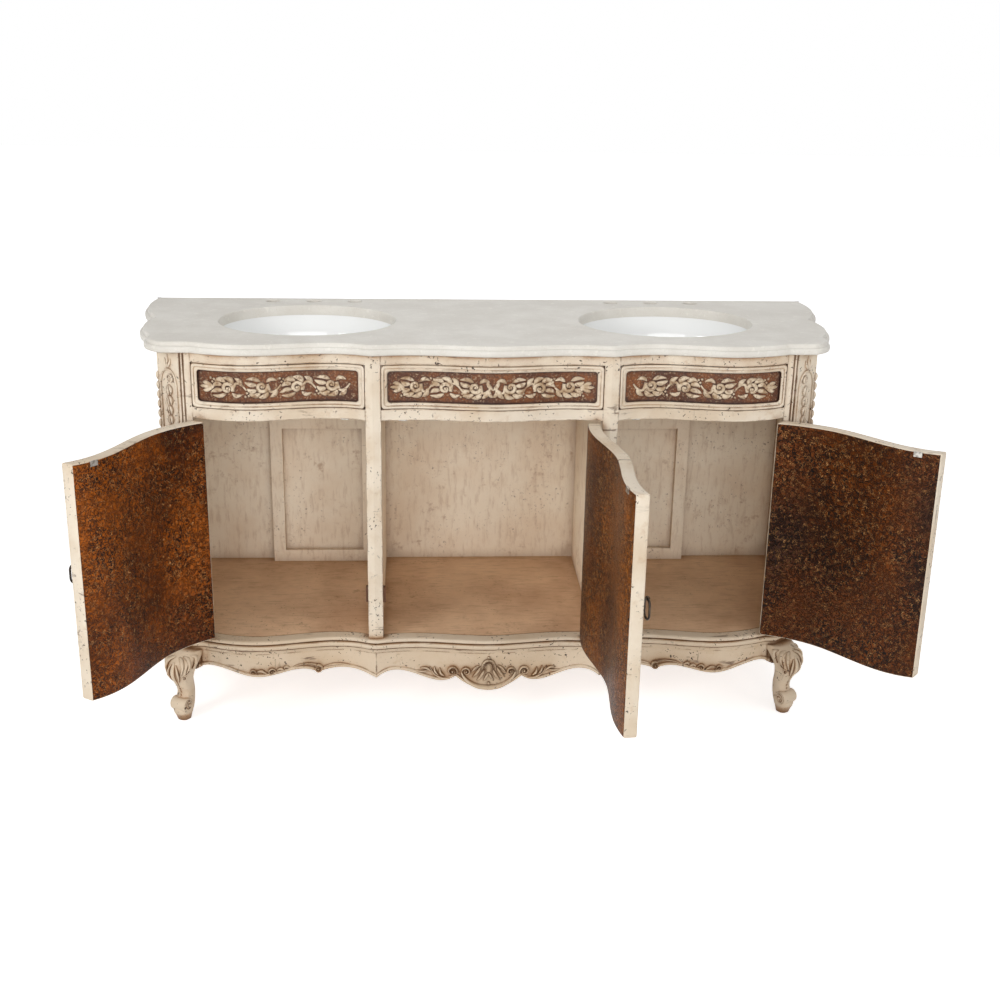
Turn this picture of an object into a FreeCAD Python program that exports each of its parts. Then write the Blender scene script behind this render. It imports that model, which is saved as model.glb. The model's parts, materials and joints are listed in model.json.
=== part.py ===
import FreeCAD, Part
import math
import os
import re
import Sketcher

from FreeCAD import Placement, Rotation, Vector

# A double bathroom vanity: a serpentine case on cabriole legs, with three doors, three false drawer
# fronts, a stone slab and two undermount basins.
# Frame: X to the right of someone who faces the doors, Y towards the wall, Z up. The origin is on
# the floor, in the middle of the width, in the plane of the wall. Lengths are in millimetres.
SIZES = {
    # slab
    "total_height": 914,
    "slab_thickness": 24,
    "slab_overhang": 12,
    "slab_nose_height": 15,
    "slab_edge_step": 7,
    "slab_nose_ease": 2.5,
    "slab_nose_ease_height": 3,
    "slab_arris_ease": 1.5,
    "slab_arris_ease_height": 2.5,
    "slab_back_reach": 75,
    "slab_rear_lobe_reach": 87,
    "slab_rear_lobe_depth": 92,
    "slab_notch_reach": 46,
    "slab_notch_depth": 238,
    "slab_side_lobe_reach": 58,
    "slab_side_lobe_setback": 179,
    "slab_fore_notch_reach": 27,
    "slab_fore_notch_setback": 82,
    "slab_corner_lobe_reach": 13,
    "slab_corner_lobe_setback": 22,
    "slab_flat_inset": 17,
    # basins and faucet holes
    "sink_spacing": 850,
    "cutout_length": 414,
    "cutout_back_margin": 97,
    "cutout_front_margin": 65,
    "bowl_reveal": 4,
    "bowl_wall": 9,
    "bowl_depth": 150,
    "bowl_floor_length": 200,
    "bowl_floor_width": 150,
    "flange_width": 20,
    "flange_thickness": 10,
    "drain_diameter": 45,
    "faucet_hole_diameter": 35,
    "faucet_spacing": 101.6,
    "faucet_hole_depth_place": 45,
    "clip_width": 24,
    "clip_grip": 9,
    "clip_block": 12,
    "clip_plate": 3,
    "clip_clearance": 0.3,
    # plan of the front, as depths in front of the wall and bulges in front of the corner
    "case_depth": 502,
    "divider_spacing": 532,
    "divider_width": 34,
    "opening_half": 667,
    "divider_bulge": 28,
    "center_edge_bulge": 25,
    "center_hollow_offset": 84,
    "center_hollow_bulge": 18,
    "center_crest_bulge": 36,
    "side_edge_bulge": 24,
    "side_hollow_offset": 79,
    "side_hollow_bulge": 6,
    "side_crest_offset": 122,
    "side_crest_bulge": 31,
    "side_fall_offset": 39,
    "side_fall_bulge": 16,
    # heights of the front
    "base_top": 209,
    "base_height": 37,
    "base_upper_bead": 12,
    "base_lower_bead": 13,
    "base_bead_proud": 10,
    "base_lower_bead_proud": 7,
    "base_thickness": 24,
    "mid_rail_height": 25,
    "mid_rail_thickness": 44,
    "drawer_height": 102,
    "top_rail_height": 22,
    "top_rail_thickness": 24,
    "drawer_moulding_width": 15,
    "drawer_moulding_proud": 5,
    "drawer_moulding_thickness": 22,
    "drawer_front_setback": 4,
    "drawer_front_thickness": 12,
    # boards
    "divider_stile_depth": 38,
    "divider_board": 30,
    "divider_notch_clearance": 8,
    "bottom_thickness": 18,
    "back_thickness": 10,
    "board_clearance": 0.2,
    "access_stile_half": 549,
    "access_frame_width": 31,
    "access_frame_height": 400,
    "access_frame_thickness": 25,
    "access_recess": 17,
    # corner posts and side panels
    "post_stile_width": 13,
    "post_bead_width": 11,
    "post_groove": 4,
    "post_cant_reach": 54,
    "post_cant_setback": 40,
    "post_flank": 16,
    "post_heel": 28,
    "side_panel_thickness": 20,
    "side_mid_flare": 34,
    "side_mid_depth": 255,
    "side_back_flare": 61,
    "side_apron_drop": 60,
    "side_arch_rise": 42,
    "side_arch_margin": 70,
    # apron
    "apron_thickness": 22,
    "apron_shell_drop": 95,
    "apron_shell_half": 79,
    "apron_notch_drop": 62,
    "apron_leaf_half": 107,
    "apron_leaf_drop": 75,
    "apron_hollow_offset": 73,
    "apron_hollow_drop": 53,
    "apron_cusp_drop": 65,
    "apron_side_hollow_offset": 69,
    "apron_side_hollow_drop": 46,
    "apron_scroll_offset": 138,
    "apron_scroll_drop": 57,
    "apron_scroll_top_offset": 166,
    "apron_scroll_top_drop": 46,
    "apron_belly_offset": 122,
    "apron_belly_drop": 59,
    "apron_arch_offset": 3,
    "apron_arch_drop": 39,
    "apron_bracket_reach": 33,
    "apron_bracket_drop": 58,
    # legs
    "leg_post_inset": 41,
    "leg_post_setback": 24,
    "leg_top_radius": 36,
    "leg_clearance": 0.3,
    "leg_knee_height": 150,
    "leg_knee_radius": 37,
    "leg_knee_out": 40,
    "leg_calf_height": 112,
    "leg_calf_radius": 28,
    "leg_calf_out": 42,
    "leg_ankle_height": 74,
    "leg_ankle_radius": 20,
    "leg_ankle_out": 30,
    "leg_toe_height": 44,
    "leg_toe_radius": 23,
    "leg_toe_out": 40,
    "leg_pad_radius": 15,
    "leg_pad_out": 41,
    "leg_scroll_radius": 17,
    "leg_scroll_width": 46,
    "leg_scroll_out": 52,
    "leg_splay_angle": 60,
    "back_leg_inset": 58,
    "back_leg_depth": 48,
    "back_leg_radius": 32,
    "back_leg_taper": 12,
    # doors
    "door_thickness": 28,
    "door_gap": 3,
    "door_moulding_inset": 44,
    "door_moulding_width": 16,
    "door_moulding_proud": 6,
    "door_left_open": 122,
    "door_center_open": 94,
    "door_right_open": 138,
    # hinges
    "leaf_thickness": 1.3,
    "leaf_clearance": 0.3,
    "leaf_depth": 22,
    "hinge_height": 64,
    "hinge_inset": 60,
    "knuckle_radius": 4,
    "knuckle_stand": 4.5,
    "knuckle_gap": 0.4,
    "pin_radius": 1.5,
    "pin_clearance": 0.3,
    "pin_fit": 0.05,
    "pin_head_radius": 3,
    "pin_head_height": 2,
    # pulls, strikes, catches and stops
    "pull_drop": 227,
    "pull_inset": 15,
    "pull_seat": 0.5,
    "pull_plate_radius": 11,
    "pull_plate_thickness": 3,
    "pull_post_radius": 4.8,
    "pull_post_length": 16.5,
    "pull_pivot_stand": 12,
    "ring_wire_radius": 2.4,
    "ring_radius": 13,
    "ring_straight": 18,
    "ring_clearance": 1.1,
    "strike_inset": 46,
    "strike_length": 18,
    "strike_height": 12,
    "strike_thickness": 2,
    "strike_clearance": 0.3,
    "catch_depth": 12,
    "catch_height": 11,
    "stop_height": 38,
    "stop_place": 288,
    "stop_width": 6,
    "stop_depth": 12,
    "stop_clearance": 0.4,
}

# Places that follow from the sizes above
DERIVED = {
    "door_head": "=total_height - slab_thickness - top_rail_height - drawer_height - mid_rail_height",
    "pull_height": "=door_head - pull_drop",
    "cutout_width": "=case_depth - cutout_back_margin - cutout_front_margin",
    "sink_depth_place": "=cutout_back_margin + cutout_width / 2",
    "post_outer_half": "=opening_half + post_stile_width + post_bead_width + post_cant_reach",
    "side_mid_half": "=post_outer_half + side_mid_flare",
    "side_back_half": "=post_outer_half + side_back_flare",
    "leg_post_half": "=post_outer_half - leg_post_inset",
    "leg_post_depth": "=case_depth - leg_post_setback",
    "back_leg_half": "=side_back_half - back_leg_inset",
    "slab_flat_half": "=post_outer_half - slab_flat_inset",
    "slab_corner_lobe_half": "=post_outer_half + slab_corner_lobe_reach",
    "slab_fore_notch_half": "=post_outer_half + slab_fore_notch_reach",
    "slab_side_lobe_half": "=post_outer_half + slab_side_lobe_reach",
    "slab_notch_half": "=post_outer_half + slab_notch_reach",
    "slab_rear_lobe_half": "=post_outer_half + slab_rear_lobe_reach",
    "slab_back_half": "=post_outer_half + slab_back_reach",
    "apron_hollow_half": "=divider_spacing / 2 - apron_hollow_offset",
    "apron_side_hollow_half": "=divider_spacing / 2 + apron_side_hollow_offset",
    "apron_scroll_half": "=divider_spacing / 2 + apron_scroll_offset",
    "apron_scroll_top_half": "=divider_spacing / 2 + apron_scroll_top_offset",
    "apron_belly_half": "=opening_half - apron_belly_offset",
    "apron_arch_half": "=opening_half - apron_arch_offset",
    "apron_bracket_half": "=opening_half + apron_bracket_reach",
    "slab_side_lobe_depth": "=case_depth + slab_overhang - slab_side_lobe_setback",
    "slab_fore_notch_depth": "=case_depth + slab_overhang - slab_fore_notch_setback",
}

doc = FreeCAD.newDocument("vanity")
sheet = doc.addObject("Spreadsheet::Sheet", "Sizes")
for row, (alias, content) in enumerate({**SIZES, **DERIVED}.items(), 1):
    sheet.set(f"A{row}", alias)
    sheet.set(f"B{row}", str(content))
    sheet.setAlias(f"B{row}", alias)
doc.recompute()

nodes = []


def size(alias):
    """The value of one driving dimension, read from the sheet."""
    return float(sheet.get(alias))


def bind(item, prop, formula):
    """Tie a property to a formula of driving dimensions."""
    item.setExpression(prop, re.sub(r"[a-z]\w+", lambda word: "Sizes." + word.group(0), formula))


def node(item, label):
    """Keep an object as a sub-part with its own file."""
    item.Label = label
    nodes.append(item)
    return item


# Shapes shared by many sub-parts

def box(name, corner, lengths):
    """A board given by formulas for its lowest corner and its three lengths."""
    item = doc.addObject("Part::Box", name)
    for prop, formula in zip(("Length", "Width", "Height"), lengths):
        bind(item, prop, formula)
    for axis, formula in zip("xyz", corner):
        bind(item, "Placement.Base." + axis, formula)
    return item


def side_box(name, side, corner, lengths):
    """A board on the right of the middle, or its mirror image on the left."""
    near, depth, low = corner
    if side < 0:
        near = f"-({near}) - ({lengths[0]})"
    return box(name, (near, depth, low), lengths)


def cylinder(name, radius, height, place, turn=Rotation()):
    """A round bar from a point, along Z unless it is turned."""
    item = doc.addObject("Part::Cylinder", name)
    bind(item, "Radius", radius)
    bind(item, "Height", height)
    item.Placement = Placement(place, turn)
    return item


def cut(name, base, tool):
    item = doc.addObject("Part::Cut", name)
    item.Base = base
    item.Tool = tool
    return item


def fuse(name, pieces):
    item = doc.addObject("Part::MultiFuse", name)
    item.Shapes = pieces
    return item


def group(name, pieces):
    """Separate solids that share one node."""
    item = doc.addObject("Part::Compound", name)
    item.Links = pieces
    return item


def sketch_in(body, role, name, offset="0"):
    """A sketch on one of the body's own origin planes, moved along its normal."""
    sketch = body.newObject("Sketcher::SketchObject", name)
    plane = next(item for item in body.Origin.OriginFeatures if item.Role == role)
    sketch.AttachmentSupport = (plane, [""])
    sketch.MapMode = "FlatFace"
    bind(sketch, "AttachmentOffset.Base.z", offset)
    return sketch


def meeting_ends(sketch, one, two, joined):
    """The free ends at which two curves of a sketch meet: 1 is a start and 2 is an end."""
    def distance(ends):
        return sketch.getPoint(one, ends[0]).distanceToPoint(sketch.getPoint(two, ends[1]))

    free = [(end, start) for end in (2, 1) for start in (1, 2)
            if (one, end) not in joined and (two, start) not in joined]
    return min(free, key=distance)


def draw(sketch, curves):
    """Draw a closed outline and join each curve to the next one."""
    first = sketch.GeometryCount
    sketch.addGeometry(curves, False)
    joined = set()
    for step in range(len(curves)):
        one = first + step
        two = first + (step + 1) % len(curves)
        end, start = meeting_ends(sketch, one, two, joined)
        joined.update([(one, end), (two, start)])
        sketch.addConstraint(Sketcher.Constraint("Coincident", one, end, two, start))


def polygon(points):
    return [Part.LineSegment(start, end) for start, end in zip(points, points[1:] + points[:1])]


def pad(body, name, curves, low, height):
    """Draw an outline at a height and extrude it upwards."""
    sketch = sketch_in(body, "XY_Plane", name + "_outline", low)
    draw(sketch, curves)
    item = body.newObject("PartDesign::Pad", name + "_pad")
    item.Profile = sketch
    bind(item, "Length", height)
    return item


def new_body(name):
    return doc.addObject("PartDesign::Body", name)


# Plan of the serpentine front

def divider_edge(side):
    """The edge of the divider's face towards the middle (-1) or towards the corner (1)."""
    return size("divider_spacing") / 2 + side * size("divider_width") / 2


def bay_points(bay):
    """Points of a bay's face from left to right, as x and depth in front of the wall."""
    depth = size("case_depth")
    if bay == "center":
        edge = divider_edge(-1)
        hollow = edge - size("center_hollow_offset")
        half = [(0, depth + size("center_crest_bulge")),
                (hollow, depth + size("center_hollow_bulge")),
                (edge, depth + size("center_edge_bulge"))]
        return [(-x, y) for x, y in half[:0:-1]] + half
    corner = size("opening_half")
    right = [(divider_edge(1), depth + size("side_edge_bulge")),
             (divider_edge(1) + size("side_hollow_offset"), depth + size("side_hollow_bulge")),
             (corner - size("side_crest_offset"), depth + size("side_crest_bulge")),
             (corner - size("side_fall_offset"), depth + size("side_fall_bulge")),
             (corner, depth)]
    if bay == "right":
        return right
    return [(-x, y) for x, y in reversed(right)]


def bay_spline(bay):
    spline = Part.BSplineCurve()
    spline.interpolate([Vector(x, -depth, 0) for x, depth in bay_points(bay)])
    return spline


def parameter_at(spline, x):
    """Where a spline that runs from left to right passes x."""
    low, high = spline.FirstParameter, spline.LastParameter
    for _ in range(60):
        middle = (low + high) / 2
        if spline.value(middle).x < x:
            low = middle
        else:
            high = middle
    return (low + high) / 2


def face_between(bay, left, right, front):
    """The bay's face from x to x, moved forwards."""
    spline = bay_spline(bay)
    spline.segment(parameter_at(spline, left), parameter_at(spline, right))
    spline.translate(Vector(0, -front, 0))
    return [spline]


def bay_ends(bay):
    points = bay_points(bay)
    return points[0][0], points[-1][0]


def crease(side, front):
    """The forward peak in front of a divider."""
    return Vector(side * size("divider_spacing") / 2, -size("case_depth") - size("divider_bulge") - front, 0)


def face_to_creases(bay, front):
    """The bay's face, drawn on to the peaks in front of the dividers beside it."""
    curves = face_between(bay, *bay_ends(bay), front)
    if bay != "left":
        peak = crease(1 if bay == "right" else -1, front)
        curves.insert(0, Part.LineSegment(peak, curves[0].StartPoint))
    if bay != "right":
        peak = crease(-1 if bay == "left" else 1, front)
        curves.append(Part.LineSegment(curves[-1].EndPoint, peak))
    return curves


def moved_back(curves, distance):
    """The same curves, further towards the wall and drawn the other way round."""
    back = []
    for curve in reversed(curves):
        copy = curve.copy()
        copy.translate(Vector(0, distance, 0))
        copy.reverse()
        back.append(copy)
    return back


def strip(face, thickness):
    """A closed outline between a face and its copy towards the wall."""
    back = moved_back(face, thickness)
    near_end = Part.LineSegment(face[-1].EndPoint, back[0].StartPoint)
    far_end = Part.LineSegment(back[-1].EndPoint, face[0].StartPoint)
    return face + [near_end] + back + [far_end]


def strip_body(name, face, thickness, low, height):
    body = new_body(name)
    pad(body, name, strip(face, thickness), low, height)
    return body


def slope_at(bay, x):
    """The point of a bay's face at x, and the turn about Z of its tangent, in degrees."""
    spline = bay_spline(bay)
    parameter = parameter_at(spline, x)
    tangent = spline.tangent(parameter)[0]
    return spline.value(parameter), math.degrees(math.atan2(tangent.y, tangent.x))


# Slab

def slab_outline(inset):
    """The slab's outline: scalloped sides that splay towards the wall and a serpentine front."""
    front = size("slab_overhang") - inset
    front_line = -size("case_depth") - front
    back_corner = Vector(size("slab_back_half") - inset, 0, 0)
    rear_lobe = Vector(size("slab_rear_lobe_half") - inset, -size("slab_rear_lobe_depth"), 0)
    notch = Vector(size("slab_notch_half") - inset, -size("slab_notch_depth"), 0)
    side_lobe = Vector(size("slab_side_lobe_half") - inset, -size("slab_side_lobe_depth"), 0)
    fore_notch = Vector(size("slab_fore_notch_half") - inset, -size("slab_fore_notch_depth"), 0)
    corner_lobe = Vector(size("slab_corner_lobe_half") - inset,
                         front_line + size("slab_corner_lobe_setback"), 0)
    flat = Vector(size("slab_flat_half"), front_line, 0)

    def mirrored(point):
        return Vector(-point.x, point.y, 0)

    def arc(start, middle, end):
        return Part.Arc(start, middle, end)

    face = face_to_creases("left", front) + face_to_creases("center", front) + face_to_creases("right", front)
    right = [Part.LineSegment(face[-1].EndPoint, flat),
             arc(flat, corner_lobe, fore_notch),
             arc(fore_notch, side_lobe, notch),
             arc(notch, rear_lobe, back_corner)]
    back = [Part.LineSegment(back_corner, mirrored(back_corner))]
    left = [arc(mirrored(back_corner), mirrored(rear_lobe), mirrored(notch)),
            arc(mirrored(notch), mirrored(side_lobe), mirrored(fore_notch)),
            arc(mirrored(fore_notch), mirrored(corner_lobe), mirrored(flat)),
            Part.LineSegment(mirrored(flat), face[0].StartPoint)]
    return face + right + back + left


def pocket_up(body, name, curves, low):
    """Cut an outline upwards through the body from a height."""
    doc.recompute()
    before = body.Shape.Volume
    sketch = sketch_in(body, "XY_Plane", name + "_outline", low)
    sketch.addGeometry(curves, False)
    item = body.newObject("PartDesign::Pocket", name)
    item.Profile = sketch
    item.Type = "ThroughAll"
    item.Reversed = True
    doc.recompute()
    if body.Shape.Volume >= before:
        raise ValueError(name + " cuts nothing")
    return item


def sink_centers():
    return [Vector(side * size("sink_spacing") / 2, -size("sink_depth_place"), 0) for side in (-1, 1)]


def make_countertop():
    """A slab with an eased nose under a stepped arris, cut for the basins and the faucets."""
    body = new_body("countertop")
    underside = "total_height - slab_thickness"
    upper = underside + " + slab_nose_height"
    step = size("slab_edge_step")
    layers = [(size("slab_nose_ease"), underside, "slab_nose_ease_height"),
              (0, underside + " + slab_nose_ease_height", "slab_nose_height - 2 * slab_nose_ease_height"),
              (size("slab_nose_ease"), upper + " - slab_nose_ease_height", "slab_nose_ease_height"),
              (step, upper, "slab_thickness - slab_nose_height - slab_arris_ease_height"),
              (step + size("slab_arris_ease"), "total_height - slab_arris_ease_height",
               "slab_arris_ease_height")]
    for number, (inset, low, height) in enumerate(layers):
        pad(body, f"slab_layer_{number}", slab_outline(inset), low, height)
    holes = []
    for center in sink_centers():
        holes.append(Part.Ellipse(center, size("cutout_length") / 2, size("cutout_width") / 2))
        for place in (-1, 0, 1):
            along = center.x + place * size("faucet_spacing")
            hole = Vector(along, -size("faucet_hole_depth_place"), 0)
            holes.append(Part.Circle(hole, Vector(0, 0, 1), size("faucet_hole_diameter") / 2))
    pocket_up(body, "slab_holes", holes, underside)
    return node(body, "countertop")


# Basins

def make_basin(side):
    name = "basin_" + ("left" if side < 0 else "right")
    center = sink_centers()[0 if side < 0 else 1]
    body = new_body(name)
    rim = "total_height - slab_thickness"
    half_length = size("cutout_length") / 2 + size("bowl_reveal")
    half_width = size("cutout_width") / 2 + size("bowl_reveal")
    floor_length = size("bowl_floor_length") / 2
    floor_width = size("bowl_floor_width") / 2
    levels = ((0, 0), (0.5, 0.1), (0.82, 0.42), (1, 1))

    def sections(label, wall, depth):
        rings = []
        for step, (fall, inward) in enumerate(levels):
            length = half_length + (floor_length - half_length) * inward + wall
            width = half_width + (floor_width - half_width) * inward + wall
            sketch = sketch_in(body, "XY_Plane", f"{name}_{label}_{step}", f"{rim} - ({depth}) * {fall}")
            sketch.addGeometry(Part.Ellipse(center, length, width), False)
            rings.append(sketch)
        return rings

    outer = sections("outside", size("bowl_wall"), "bowl_depth")
    inner = sections("inside", 0, "bowl_depth - bowl_wall")
    shell = body.newObject("PartDesign::AdditiveLoft", name + "_shell")
    shell.Profile = outer[0]
    shell.Sections = outer[1:]
    flange = Part.Ellipse(center, half_length + size("flange_width"), half_width + size("flange_width"))
    sketch = sketch_in(body, "XY_Plane", name + "_flange_outline", rim + " - flange_thickness")
    sketch.addGeometry(flange, False)
    rim_pad = body.newObject("PartDesign::Pad", name + "_flange")
    rim_pad.Profile = sketch
    bind(rim_pad, "Length", "flange_thickness")
    hollow = body.newObject("PartDesign::SubtractiveLoft", name + "_hollow")
    hollow.Profile = inner[0]
    hollow.Sections = inner[1:]
    drain = Part.Circle(center, Vector(0, 0, 1), size("drain_diameter") / 2)
    pocket_up(body, name + "_drain", [drain], f"{rim} - bowl_depth")
    return node(body, name)


def make_basin_clips():
    """Small angle clips that hold the basin flanges up against the slab."""
    clips = []
    reach_x = "cutout_length / 2 + bowl_reveal + flange_width + clip_clearance"
    reach_y = "cutout_width / 2 + bowl_reveal + flange_width + clip_clearance"
    slab_low = "total_height - slab_thickness"
    plate_low = slab_low + " - flange_thickness - clip_plate"
    for side in (-1, 1):
        center_x = f"{side} * sink_spacing / 2"
        for out in (-1, 1):
            block_x = f"{center_x} + {out} * ({reach_x} + clip_block / 2) - clip_block / 2"
            plate_x = f"{center_x} + {out} * ({reach_x} + (clip_block - clip_grip) / 2)"
            plate_x += " - (clip_block + clip_grip) / 2"
            across = "-sink_depth_place - clip_width / 2"
            block = box("clip_block_x", (block_x, across, plate_low + " + clip_plate"),
                        ("clip_block", "clip_width", "flange_thickness"))
            plate = box("clip_plate_x", (plate_x, across, plate_low),
                        ("clip_block + clip_grip", "clip_width", "clip_plate"))
            clips.append(fuse("clip_x", [block, plate]))
            block_y = f"-sink_depth_place + {out} * ({reach_y} + clip_block / 2) - clip_block / 2"
            plate_y = f"-sink_depth_place + {out} * ({reach_y} + (clip_block - clip_grip) / 2)"
            plate_y += " - (clip_block + clip_grip) / 2"
            along = center_x + " - clip_width / 2"
            block = box("clip_block_y", (along, block_y, plate_low + " + clip_plate"),
                        ("clip_width", "clip_block", "flange_thickness"))
            plate = box("clip_plate_y", (along, plate_y, plate_low),
                        ("clip_width", "clip_block + clip_grip", "clip_plate"))
            clips.append(fuse("clip_y", [block, plate]))
    return node(group("basin_clips", clips), "basin_clips")


# Case boards

def side_name(side):
    return "left" if side < 0 else "right"


def make_divider(side):
    """A partition that is notched around the basins, and the stile on its front edge."""
    name = "divider_" + side_name(side)
    depth = "case_depth + divider_bulge - divider_stile_depth - back_thickness"
    height = "total_height - slab_thickness - base_top"
    near = "divider_spacing / 2 - divider_board / 2"
    board = side_box(name + "_board", side, (near, f"-back_thickness - ({depth})", "base_top"),
                     ("divider_board", depth, height))
    reach = "cutout_width / 2 + bowl_reveal + flange_width + clip_block + divider_notch_clearance"
    notch = side_box(name + "_notch", side,
                     (near, f"-sink_depth_place - ({reach})",
                      "total_height - slab_thickness - bowl_depth - divider_notch_clearance"),
                     ("divider_board", f"2 * ({reach})", "bowl_depth + divider_notch_clearance"))
    node(cut(name, board, notch), name)

    stile = new_body("divider_stile_" + side_name(side))
    back = -size("case_depth") - size("divider_bulge") + size("divider_stile_depth")
    inner = Vector(side * divider_edge(-1), -size("case_depth") - size("center_edge_bulge"), 0)
    outer = Vector(side * divider_edge(1), -size("case_depth") - size("side_edge_bulge"), 0)
    points = [inner, crease(side, 0), outer, Vector(outer.x, back, 0), Vector(inner.x, back, 0)]
    pad(stile, stile.Name, polygon(points), "base_top", height)
    node(stile, stile.Name)


def side_face(inset):
    """The outer face of the right side panel in plan, from the post to the back panel."""
    start = Vector(size("post_outer_half") - inset, post_back(), 0)
    middle = Vector(size("side_mid_half") - inset, -size("side_mid_depth"), 0)
    end = Vector(size("side_back_half") - inset, -size("back_thickness"), 0)
    spline = Part.BSplineCurve()
    spline.interpolate([start, middle, end])
    return spline


def post_back():
    """Where the post ends and the side panel begins, in Y."""
    return -size("case_depth") + size("post_cant_setback") + size("post_flank")


def mirror_curves(curves, side):
    """Curves of the right-hand side, or their mirror images on the left."""
    if side > 0:
        return curves
    flipped = []
    for curve in reversed(curves):
        copy = curve.copy()
        copy.mirror(Vector(0, 0, 0), Vector(0, 1, 0))
        copy.reverse()
        flipped.append(copy)
    return flipped


def make_bottom_panel():
    """The floor of the three bays; its front edge follows the serpentine rails."""
    body = new_body("bottom_panel")
    setback = -size("base_thickness") - size("board_clearance")
    face = face_to_creases("left", setback) + face_to_creases("center", setback)
    face += face_to_creases("right", setback)
    side = side_face(size("side_panel_thickness") + size("board_clearance"))
    back = -size("back_thickness")
    front_right = face[-1].EndPoint
    heel = Vector(front_right.x, side.StartPoint.y, 0)
    right = [Part.LineSegment(front_right, heel), Part.LineSegment(heel, side.StartPoint), side]
    left = mirror_curves(right, -1)
    closing = Part.LineSegment(Vector(side.EndPoint.x, back, 0), Vector(-side.EndPoint.x, back, 0))
    pad(body, "bottom_panel", face + right + [closing] + left, "base_top - bottom_thickness",
        "bottom_thickness")
    return node(body, "bottom_panel")


def make_back_panel():
    half = "side_back_half"
    low = "base_top - base_height"
    panel = box("back_panel", (f"-{half}", "-back_thickness", low),
                (f"2 * {half}", "back_thickness", f"total_height - slab_thickness - ({low})"))
    return node(panel, "back_panel")


def make_access_panel(side):
    """A framed panel that stands on the back wall beside the divider."""
    name = "access_panel_" + side_name(side)
    near = "divider_spacing / 2 + divider_board / 2"
    width = f"access_stile_half - ({near})"
    place = "-back_thickness - access_frame_thickness"
    frame = side_box(name + "_frame", side, (near, place, "base_top"),
                     (width, "access_frame_thickness", "access_frame_height"))
    recess = side_box(name + "_recess", side,
                      (f"{near} + access_frame_width", place, "base_top + access_frame_width"),
                      (f"{width} - 2 * access_frame_width", "access_recess",
                       "access_frame_height - 2 * access_frame_width"))
    return node(cut(name, frame, recess), name)


# Corner posts, side panels and legs

def make_post(side):
    """A canted corner post, with a stile for the door and a bead between them."""
    body = new_body("corner_post_" + side_name(side))
    front = -size("case_depth")
    stile = size("opening_half") + size("post_stile_width")
    bead_end = stile + size("post_bead_width")
    groove = size("post_groove")
    outer = size("post_outer_half")
    flank = front + size("post_cant_setback")
    heel = front + size("post_heel")
    inner_back = outer - size("side_panel_thickness")
    points = [(size("opening_half"), front), (stile, front), (stile + groove / 2, front + groove),
              (stile + groove, front), (bead_end - groove, front), (bead_end - groove / 2, front + groove),
              (bead_end, front), (outer, flank), (outer, post_back()), (inner_back, post_back()),
              (size("opening_half"), heel)]
    curves = mirror_curves(polygon([Vector(x, y, 0) for x, y in points]), side)
    low = "base_top - base_height"
    pad(body, body.Name, curves, low, f"total_height - slab_thickness - ({low})")
    return node(body, body.Name)


def rounded_square(center, radius, angle):
    """A square with bulging sides, one corner of which points along the angle."""
    points = []
    for step in range(9):
        turn = angle + math.pi / 4 * step
        reach = radius if step % 2 == 0 else radius * 0.86
        points.append(center + Vector(math.cos(turn), math.sin(turn), 0) * reach)
    return [Part.Arc(*points[step:step + 3]) for step in range(0, 8, 2)]


def leg_body(name, center, direction, sections):
    """Loft a leg through rounded squares, each moved outwards along the direction."""
    body = new_body(name)
    angle = math.atan2(direction.y, direction.x)
    rings = []
    for step, (height, out, radius) in enumerate(sections):
        sketch = sketch_in(body, "XY_Plane", f"{name}_section_{step}", height)
        draw(sketch, rounded_square(center + direction * out, radius, angle))
        rings.append(sketch)
    loft = body.newObject("PartDesign::AdditiveLoft", name + "_loft")
    loft.Profile = rings[0]
    loft.Sections = rings[1:]
    return body


def make_front_leg(side):
    """A cabriole leg: knee, ankle and a scrolled toe that splay towards the corner."""
    name = "leg_front_" + side_name(side)
    splay = math.radians(size("leg_splay_angle"))
    direction = Vector(side * math.cos(splay), -math.sin(splay), 0)
    center = Vector(side * size("leg_post_half"), -size("leg_post_depth"), 0)
    sections = [("0", size("leg_pad_out"), size("leg_pad_radius")),
                ("leg_toe_height", size("leg_toe_out"), size("leg_toe_radius")),
                ("leg_ankle_height", size("leg_ankle_out"), size("leg_ankle_radius")),
                ("leg_calf_height", size("leg_calf_out"), size("leg_calf_radius")),
                ("leg_knee_height", size("leg_knee_out"), size("leg_knee_radius")),
                ("base_top - base_height", 0, size("leg_top_radius"))]
    body = leg_body(name + "_body", center, direction, sections)
    across = Vector(-direction.y, direction.x, 0)
    place = center + direction * size("leg_scroll_out") - across * (size("leg_scroll_width") / 2)
    place.z = size("leg_toe_height")
    scroll = cylinder(name + "_scroll", "leg_scroll_radius", "leg_scroll_width", place,
                      Rotation(Vector(0, 0, 1), across))
    return node(fuse(name, [body, scroll]), name)


def leg_housing(name, side):
    """The room that boards leave around the top of a front leg."""
    center = Vector(side * size("leg_post_half"), -size("leg_post_depth"), 0)
    return cylinder(name + "_housing", "leg_top_radius + leg_clearance", "base_top - base_height", center)


def make_back_leg(side):
    name = "leg_back_" + side_name(side)
    center = Vector(side * size("back_leg_half"), -size("back_leg_depth"), 0)
    radius = size("back_leg_radius")
    sections = [("0", 0, radius - size("back_leg_taper")), ("base_top - bottom_thickness", 0, radius)]
    body = leg_body(name, center, Vector(side, 0, 0), sections)
    return node(body, name)


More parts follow.
